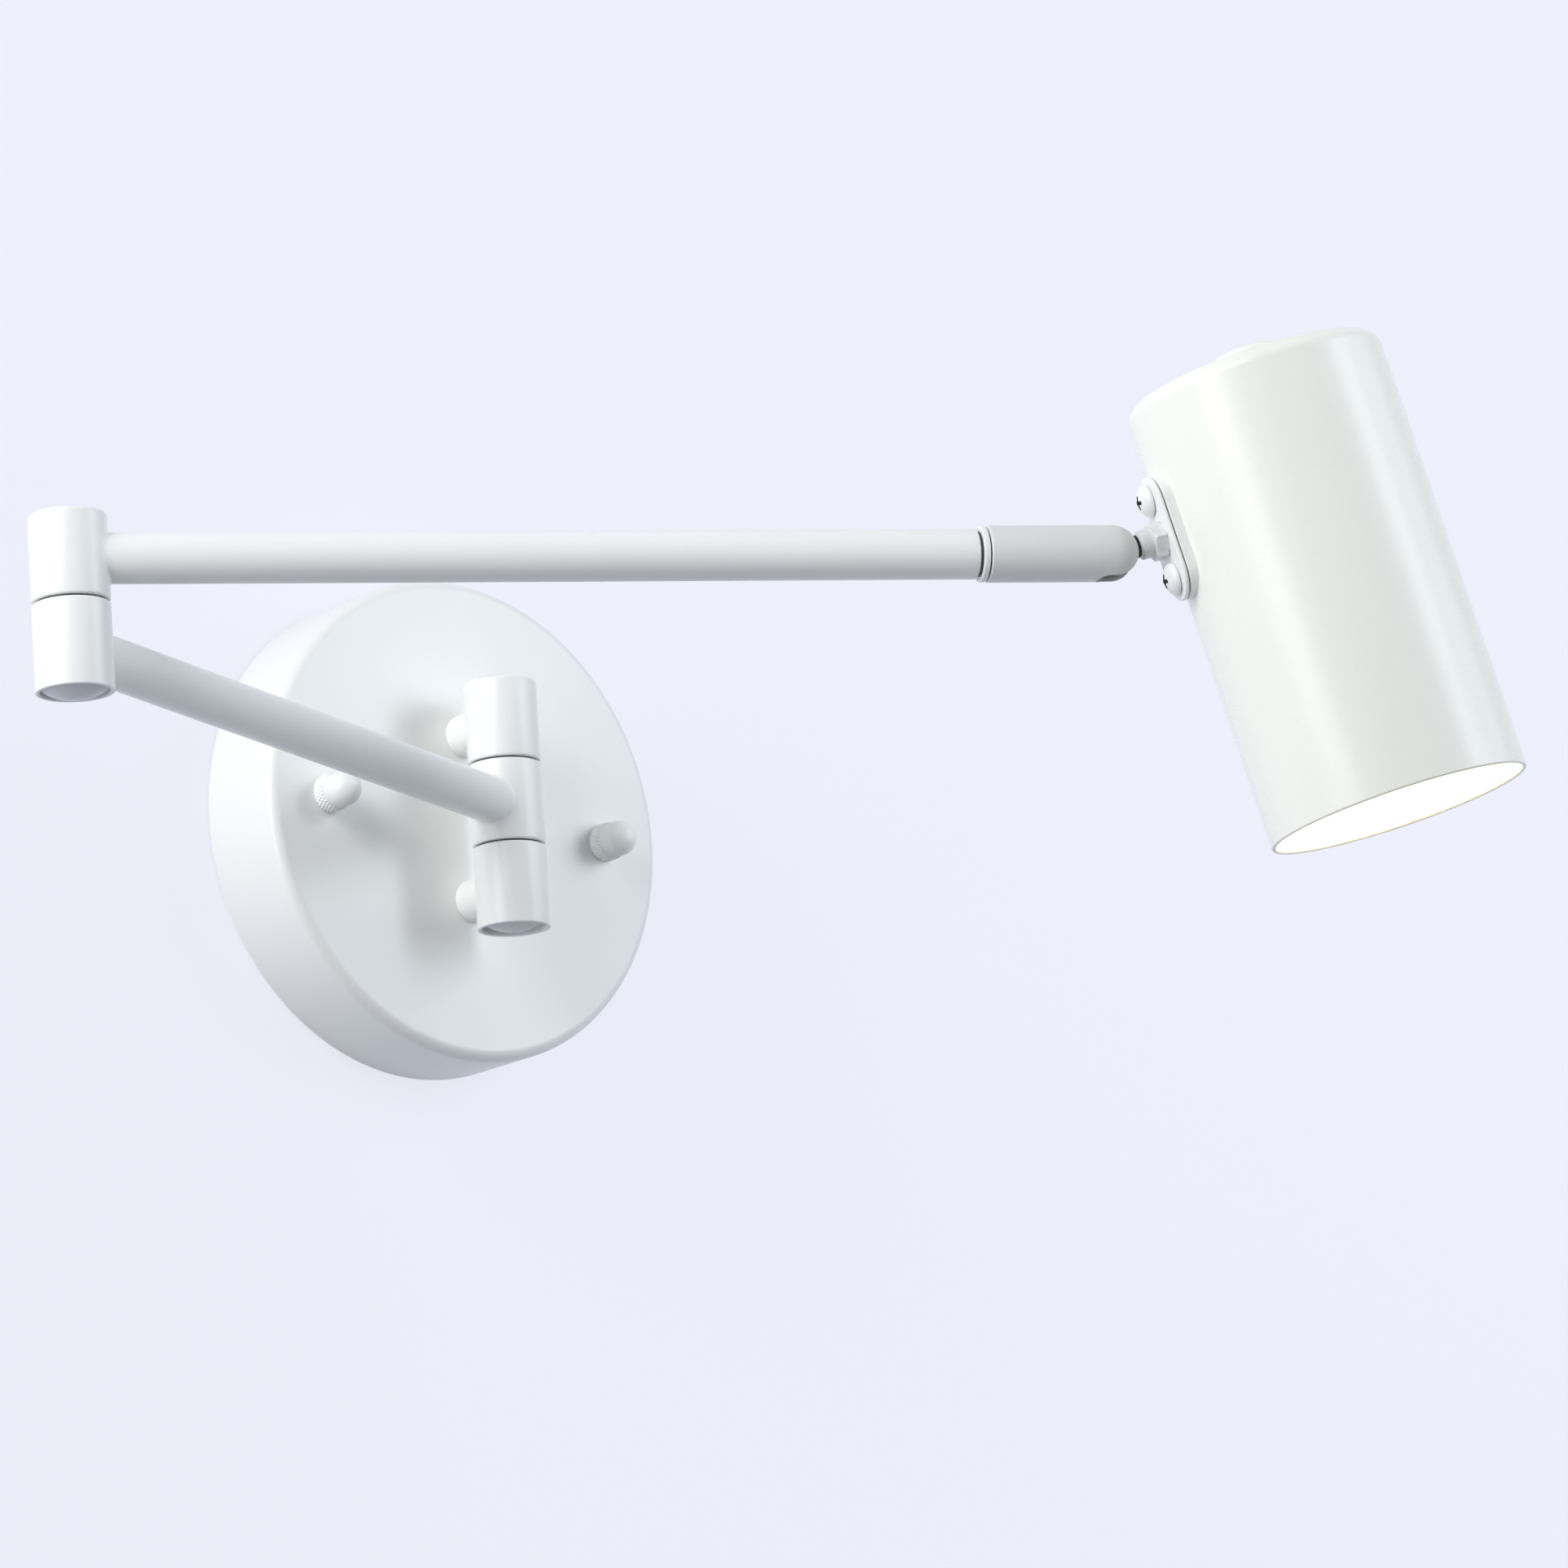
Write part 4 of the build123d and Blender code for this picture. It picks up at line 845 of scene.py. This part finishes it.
form = bmesh.new()
front_edge = arc(BRACKET_EDGE, 0, BRACKET_EDGE, 180, 90, 6)
edge_steps = [(depth, BRACKET_EDGE - reach) for depth, reach in front_edge]
edge_steps += [(PLATE_SHEET, 0), (PLATE_SHEET, BRACKET_GROOVE), (PAD_START, BRACKET_GROOVE)]
edge_steps += [(PAD_START, PAD_EDGE), (PAD_START + PAD_EDGE, 0), (2 * BRACKET_THICKNESS, 0)]
levels = [oval(depth, inset) for depth, inset in edge_steps]
rings = [[form.verts.new(point) for point in level] for level in levels]
for near, far in zip(rings, rings[1:]):
    band(form, near, far)
form.faces.new(rings[0])
form.faces.new(rings[-1])
plate = finished(form, "saddle_bracket")
saddle = rod(-2 * HOLE_REACH, 2 * HOLE_REACH, SHADE_RADIUS + SADDLE_PLAY, shade_centre, head_up, 256)
plate_holes = [rod(0, HOLE_REACH, SHANK_RADIUS + SHANK_PLAY, ball, neck_out)]
for side in (1, -1):
    beside = ball + head_up * side * SCREW_SPACING / 2
    plate_holes.append(rod(0, HOLE_REACH, SCREW_RADIUS + SCREW_PLAY, beside, neck_out))
bracket = link("saddle_bracket", cut(plate, saddle, *plate_holes), "head", "head_bracket")
paint(bracket, white_powder_coat)
# Painted shadow: a matt grey-brown line on the groove's floor, where the gap's shade falls.
groove_painted_shadow = moulded("taupe_groove_painted_shadow", "a09a8e", "918b80", 0.6, 0.3)
bracket.data.materials.append(groove_painted_shadow)
# The groove's floor faces take the painted shadow.
for face in bracket.data.polygons:
    depth = (face.center - ball).dot(neck_out) - BRACKET_FACE
    face.material_index = int(PLATE_SHEET + FACE_MARGIN < depth < PAD_START - FACE_MARGIN)

# ---- Bracket screws ----
# Two M4 pan-head machine screws with a cross recess, coated over with the lamp. The recess is painted
# dark as the shade that falls in it. Zinc-plated hexagon nuts hold them inside the shade.
HEAD_RADIUS = 4.0 * MM
HEAD_HEIGHT = 3.0 * MM
HEAD_RIM = 1.0 * MM
SCREW_LENGTH = 6.66 * MM
RECESS_SPAN = 1.9 * MM
RECESS_WIDTH = 0.5 * MM
RECESS_DEPTH = 1.5 * MM
RECESS_TURN = 12
SEAT_RELIEF = 0.6 * MM
TIP_CHAMFER = 0.4 * MM
crown = HEAD_HEIGHT - HEAD_RIM
crown_radius = (HEAD_RADIUS**2 + crown**2) / (2 * crown)
crown_spread = math.degrees(math.asin(HEAD_RADIUS / crown_radius))
screw_outline = (
    [(-HEAD_HEIGHT, 0)]
    + arc(crown_radius - HEAD_HEIGHT, 0, crown_radius, 180, 180 - crown_spread, 14)[1:-1]
    + [(-HEAD_RIM - 0.1 * MM, HEAD_RADIUS - 0.12 * MM), (-HEAD_RIM + 0.15 * MM, HEAD_RADIUS)]
    + [(-0.4 * MM, HEAD_RADIUS), (-0.25 * MM, HEAD_RADIUS - SEAT_RELIEF), (0, HEAD_RADIUS - SEAT_RELIEF)]
    + [(0, SCREW_RADIUS), (SCREW_LENGTH - TIP_CHAMFER, SCREW_RADIUS)]
    + [(SCREW_LENGTH, SCREW_RADIUS - TIP_CHAMFER), (SCREW_LENGTH, 0)]
)


def cross_recess(seat):
    """A cross that narrows as it goes in, to cut the driver's recess with."""
    form = bmesh.new()
    corners = [(RECESS_SPAN, -RECESS_WIDTH), (RECESS_SPAN, RECESS_WIDTH), (RECESS_WIDTH, RECESS_WIDTH)]
    layers = []
    for depth, share in ((-CUT_OVERLAP, 1.25), (RECESS_DEPTH, 0.35)):
        layer = []
        for quarter in range(4):
            spin = math.radians(RECESS_TURN + 90 * quarter)
            for along, aside in corners:
                x = (along * math.cos(spin) - aside * math.sin(spin)) * share
                y = (along * math.sin(spin) + aside * math.cos(spin)) * share
                place = seat + neck_out * (depth - HEAD_HEIGHT) + tilt_axis * x + head_up * y
                layer.append(form.verts.new(place))
        layers.append(layer)
        form.faces.new(layer)
    band(form, *layers)
    return finished(form, "cross_recess")


form = bmesh.new()
recesses = []
for side in (1, -1):
    screw_seat = ball + neck_out * BRACKET_FACE + head_up * side * SCREW_SPACING / 2
    turn(form, screw_outline, screw_seat, neck_out, 64)
    recesses.append(cross_recess(screw_seat))
screws = link("pan_head_screws", cut(finished(form, "pan_head_screws"), *recesses), "head", "bracket_screws")
paint(screws, white_powder_coat)
screws.data.materials.append(dark_steel_painted_shade)
# The recess faces take the dark steel as a painted shade.
for face in screws.data.polygons:
    reach = face.center - ball
    side = 1 if reach.dot(head_up) > 0 else -1
    local = reach - neck_out * BRACKET_FACE - head_up * side * SCREW_SPACING / 2
    depth = local.dot(neck_out)
    radial = math.sqrt(max(local.length_squared - depth**2, 0))
    domed = crown_radius - HEAD_HEIGHT - math.sqrt(crown_radius**2 - radial**2)
    painted_shade_recess = domed + FACE_MARGIN < depth < RECESS_DEPTH - HEAD_HEIGHT + FACE_MARGIN
    face.material_index = int(painted_shade_recess and radial < HEAD_RADIUS / 2)
paint(frame["nodes"]["bracket_nuts"], zinc_plate)

# ---- Shade ----
# A cup spun from 1.2 mm aluminium, closed behind and open at the mouth, where its lip is rounded
# over. It is powder-coated in a warmer white, inside too, and lit from within by the bulb.
SHADE_WALL = 1.2 * MM
SHADE_BACK = 34.0 * MM
SHADE_MOUTH = -78.0 * MM
SHADE_EDGE = 4.0 * MM
LIP = 0.55 * MM
NIPPLE_HOLE = 5.02 * MM
inner_radius = SHADE_RADIUS - SHADE_WALL
shade_outline = (
    [(SHADE_BACK, NIPPLE_HOLE)]
    + arc(SHADE_BACK - SHADE_EDGE, SHADE_RADIUS - SHADE_EDGE, SHADE_EDGE, 0, 90, 16)
    + arc(SHADE_MOUTH + LIP, SHADE_RADIUS - LIP, LIP, 90, 180, 6)
    + arc(SHADE_MOUTH + LIP, inner_radius + LIP, LIP, 180, 270, 6)
    + arc(SHADE_BACK - SHADE_EDGE, SHADE_RADIUS - SHADE_EDGE, SHADE_EDGE - SHADE_WALL, 90, 0, 12)
    + [(SHADE_BACK - SHADE_WALL, NIPPLE_HOLE)]
)
shade = link("spun_shade", turned("spun_shade", shade_outline, shade_centre, head_up, 320), "head", "shade")
shade_powder_coat = powder_coat("shade_powder_coat", "f9f9f0", "f5f6ec", 0.3)
paint(shade, shade_powder_coat)

# ---- Rear cap ----
# A cap nut with a straight rim and a low dome, coated with the shade. It screws onto the nipple and
# clamps the lampholder.
CAP_RADIUS = 8.0 * MM
CAP_HEIGHT = 6.2 * MM
CAP_RIM = 5.0 * MM
CAP_EDGE = 0.8 * MM
CAP_CHAMFER = 0.2 * MM
NIPPLE_PROUD = 3.62 * MM
cap_crown = CAP_HEIGHT - CAP_RIM
cap_arc = (CAP_RADIUS**2 + cap_crown**2) / (2 * cap_crown)
edge_reach = CAP_RADIUS - CAP_EDGE
edge_level = CAP_HEIGHT - cap_arc + math.sqrt((cap_arc - CAP_EDGE) ** 2 - edge_reach**2)
cap_spread = math.degrees(math.asin(edge_reach / (cap_arc - CAP_EDGE)))
cap_outline = (
    [(NIPPLE_PROUD, 0), (NIPPLE_PROUD, NIPPLE_HOLE), (0, NIPPLE_HOLE)]
    + [(0, CAP_RADIUS - CAP_CHAMFER), (CAP_CHAMFER, CAP_RADIUS)]
    + arc(edge_level, edge_reach, CAP_EDGE, 90, cap_spread, 8)
    + arc(CAP_HEIGHT - cap_arc, 0, cap_arc, cap_spread, 0, 18)[1:-1]
    + [(CAP_HEIGHT, 0)]
)
cap_seat = shade_centre + head_up * SHADE_BACK
rear_cap = link(
    "domed_rear_cap", turned("domed_rear_cap", cap_outline, cap_seat, head_up, 128), "head", "rear_cap"
)
paint(rear_cap, shade_powder_coat)

# ---- Lampholder ----
# A moulded white body for a small screw bulb, clamped under the shade's back by the nipple. Three
# grooves round its lower half give the fingers a grip.
HOLDER_RADIUS = 13.5 * MM
HOLDER_LENGTH = 38.0 * MM
HOLDER_CAVITY = 7.5 * MM
CAVITY_DEPTH = 24.0 * MM
NIPPLE_SEAT = 8.0 * MM
GROOVE_PITCH = 4.75 * MM
GROOVE_WIDTH = 1.6 * MM
GROOVE_DEPTH = 0.8 * MM
GROOVE_SLOPE = 0.2 * MM
MOUTH_BEVEL = 0.5 * MM
MOUTH_ROUND = 0.8 * MM
BACK_ROUND = 1.6 * MM
holder_back = SHADE_BACK - SHADE_WALL
holder_mouth = holder_back - HOLDER_LENGTH
holder_outline = [(holder_mouth + CAVITY_DEPTH, 0), (holder_mouth + CAVITY_DEPTH, HOLDER_CAVITY)]
holder_outline += [(holder_mouth + MOUTH_BEVEL, HOLDER_CAVITY), (holder_mouth, HOLDER_CAVITY + MOUTH_BEVEL)]
holder_outline += arc(holder_mouth + MOUTH_ROUND, HOLDER_RADIUS - MOUTH_ROUND, MOUTH_ROUND, 180, 90, 5)
for number in (1, 2, 3):
    groove = holder_mouth + number * GROOVE_PITCH
    for along, radial in (
        (0, HOLDER_RADIUS), (GROOVE_SLOPE, HOLDER_RADIUS - GROOVE_DEPTH),
        (GROOVE_WIDTH - GROOVE_SLOPE, HOLDER_RADIUS - GROOVE_DEPTH), (GROOVE_WIDTH, HOLDER_RADIUS),
    ):
        holder_outline.append((groove + along, radial))
holder_outline += arc(holder_back - BACK_ROUND, HOLDER_RADIUS - BACK_ROUND, BACK_ROUND, 90, 0, 8)
holder_outline += [(holder_back, NIPPLE_HOLE)]
holder_outline += [(holder_back - NIPPLE_SEAT, NIPPLE_HOLE), (holder_back - NIPPLE_SEAT, 0)]
holder = link(
    "grooved_lampholder", turned("grooved_lampholder", holder_outline, shade_centre, head_up, 128),
    "head", "lampholder",
)
white_plastic = moulded("white_plastic", "ecebe6", "e4e3dd", 0.35, 0.5)
paint(holder, white_plastic)
paint(frame["nodes"]["holder_nipple"], zinc_plate)

# ---- Bulb ----
# A small opal globe bulb, lit. The glass is blown with a neck that is cemented into a rolled
# aluminium screw cap, and it glows evenly in a warm white.
BULB_RADIUS = 22.5 * MM
BULB_LENGTH = 57.0 * MM
BULB_CAP_RADIUS = 6.9 * MM
BULB_CAP_LENGTH = 21.0 * MM
NECK_LENGTH = 5.0 * MM
SHOULDER_ANGLE = 42
GLASS = 0.9 * MM
cap_rim = holder_mouth + CAVITY_DEPTH - BULB_CAP_LENGTH
globe = cap_rim - BULB_LENGTH + BULB_RADIUS


def opal_glass(name, colour, glow, strength):
    """Opal glass lit from inside: the eye gets an even warm glow and a soft gloss on the skin."""
    made, tree, shader = new_material(name)
    tone = blend(tree, colour, glow, noise(tree, 12, 2.0))
    tree.links.new(tone, shader.inputs["Base Color"])
    shader.inputs["Roughness"].default_value = 0.12
    shader.inputs["Emission Color"].default_value = linear(glow)
    shader.inputs["Emission Strength"].default_value = strength
    return made


def blown(radius, neck):
    """Half outline of the glass, from its neck to its lowest point."""
    return (
        [(cap_rim, neck), (cap_rim - NECK_LENGTH, neck)]
        + arc(globe, 0, radius, SHOULDER_ANGLE, 180, 48)[:-1]
        + [(globe - radius, 0)]
    )


outside = blown(BULB_RADIUS, BULB_CAP_RADIUS)
inside = blown(BULB_RADIUS - GLASS, BULB_CAP_RADIUS - GLASS)
globe_skin = turned("opal_globe", outside[::-1] + inside, shade_centre, head_up, 128)
bulb = link("opal_globe", globe_skin, "head", "bulb_glass")
lit_opal_glass = opal_glass("lit_opal_glass", "fbf8f0", "ffe6b8", 7.5)
paint(bulb, lit_opal_glass)
rolled_aluminium = plated_steel("rolled_aluminium", "c6c8ca", "b0b3b6", 0.3, 2)
paint(frame["nodes"]["bulb_cap"], rolled_aluminium)

# ---- The wall behind ----
# A plain painted wall, pale lavender-white. It is only a stage for the lamp, and seen from behind
# it is clear, so that the plate inside the canopy shows.
WALL_SIZE = 6.0
WALL_SET_BACK = 0.6 * MM
wall_mesh = bpy.data.meshes.new("painted_wall")
half_wall = WALL_SIZE / 2
wall_corners = [
    (x * half_wall, WALL_SET_BACK, z * half_wall) for x, z in ((-1, -1), (1, -1), (1, 1), (-1, 1))
]
wall_mesh.from_pydata(wall_corners, [], [(0, 1, 2, 3)])
wall = bpy.data.objects.new("painted_wall", wall_mesh)
bpy.context.scene.collection.objects.link(wall)


def sees_backdrop(tree):
    """One for camera, glossy and transmission rays, and zero for the rays that carry light."""
    path = add(tree, "ShaderNodeLightPath").outputs
    direct = add(
        tree, "ShaderNodeMath", {"operation": "MAXIMUM"},
        {0: path["Is Camera Ray"], 1: path["Is Glossy Ray"]},
    )
    through = add(
        tree, "ShaderNodeMath", {"operation": "MAXIMUM"},
        {0: direct.outputs[0], 1: path["Is Transmission Ray"]},
    )
    return through.outputs[0]


def wall_paint(name, colour, seen, share):
    """Matt emulsion on plaster. Camera, glossy and transmission rays see part of its colour as
    plain light, so that it stays pale, and the rest of it takes the lamp's soft shadow."""
    made, tree, shader = new_material(name)
    shader.inputs["Base Color"].default_value = linear(colour)
    shader.inputs["Roughness"].default_value = 0.9
    shader.inputs["Specular IOR Level"].default_value = 0.0
    glow = add(tree, "ShaderNodeEmission", {"Color": linear(seen), "Strength": 1.0})
    part = add(tree, "ShaderNodeMath", {"operation": "MULTIPLY", 1: share}, {0: sees_backdrop(tree)})
    front = add(
        tree, "ShaderNodeMixShader", links={0: part.outputs[0], 1: shader.outputs[0], 2: glow.outputs[0]}
    )
    back = add(tree, "ShaderNodeNewGeometry").outputs["Backfacing"]
    clear = add(tree, "ShaderNodeBsdfTransparent")
    sided = add(tree, "ShaderNodeMixShader", links={0: back, 1: front.outputs[0], 2: clear.outputs[0]})
    tree.links.new(sided.outputs[0], tree.nodes["Material Output"].inputs["Surface"])
    return made


lavender_emulsion = wall_paint("lavender_emulsion", "eceef8", "f4f5ff", 0.8)
paint(wall, lavender_emulsion)

# ---- Studio light ----
# Two soft lamps from the left whiten the left sides. Two weaker ones from the front right light the
# canopy's face and put the second highlight on the shade, and a pale room fills the shadows.


def soft_lamp(name, place, target, width, height, power, colour):
    """A rectangular soft lamp that faces the target."""
    lamp = bpy.data.lights.new(name, "AREA")
    lamp.shape = "RECTANGLE"
    lamp.size = width
    lamp.size_y = height
    lamp.energy = power
    lamp.color = linear(colour)[:3]
    holder = bpy.data.objects.new(name, lamp)
    holder.location = place
    holder.rotation_euler = (Vector(target) - Vector(place)).to_track_quat("-Z", "Y").to_euler()
    bpy.context.scene.collection.objects.link(holder)


soft_lamp("left_soft_lamp", (-1.75, -0.25, 0.25), (0, -0.15, 0), 1.0, 1.6, 19.5, "ffffff")
soft_lamp("high_left_soft_lamp", (-1.6, -0.75, 0.9), (0, -0.15, 0), 0.9, 0.9, 13.5, "ffffff")
soft_lamp("right_soft_lamp", (0.92, -1.56, 0.35), (0.05, -0.25, 0), 0.5, 1.4, 10.5, "eef4ff")
soft_lamp("side_soft_lamp", (1.45, -1.2, 0.5), (0.05, -0.25, 0), 1.1, 1.4, 9.5, "f4faff")
ROOM_FILL = 0.23
room = bpy.data.worlds.new("pale_room")
room.use_nodes = True
bpy.context.scene.world = room
tree = room.node_tree
fill = tree.nodes["Background"]
fill.inputs["Color"].default_value = linear("e8eefa")
fill.inputs["Strength"].default_value = ROOM_FILL
pale = add(tree, "ShaderNodeBackground", {"Color": linear("eef0fa"), "Strength": 1.0})
both = add(
    tree, "ShaderNodeMixShader", links={0: sees_backdrop(tree), 1: fill.outputs[0], 2: pale.outputs[0]}
)
tree.links.new(both.outputs[0], tree.nodes["World Output"].inputs["Surface"])

# ---- Camera ----
# Below the lamp and to its left, far off with a long lens, as the photograph was taken.
CAMERA_PLACE = Vector((-1.2989, -1.6220, -0.4814))
CAMERA_YAW = 41.39
CAMERA_PITCH = 13.27
CAMERA_ROLL = -3.88
CAMERA_LENS = 190.97
SENSOR_WIDTH = 36
CLIP_END = 50
yaw, pitch, roll = [math.radians(a) for a in (CAMERA_YAW, CAMERA_PITCH, CAMERA_ROLL)]
aim = Vector((math.sin(yaw) * math.cos(pitch), math.cos(yaw) * math.cos(pitch), math.sin(pitch)))
level_right = aim.cross(UP).normalized()
level_up = level_right.cross(aim)
right = level_right * math.cos(roll) + level_up * math.sin(roll)
up = level_up * math.cos(roll) - level_right * math.sin(roll)
lens = bpy.data.cameras.new("camera")
lens.lens = CAMERA_LENS
lens.sensor_width = SENSOR_WIDTH
lens.clip_end = CLIP_END
camera = bpy.data.objects.new("camera", lens)
camera.matrix_world = Matrix((right, up, -aim)).transposed().to_4x4()
camera.location = CAMERA_PLACE
bpy.context.scene.collection.objects.link(camera)
bpy.context.scene.camera = camera
bpy.context.scene.view_settings.view_transform = "Standard"
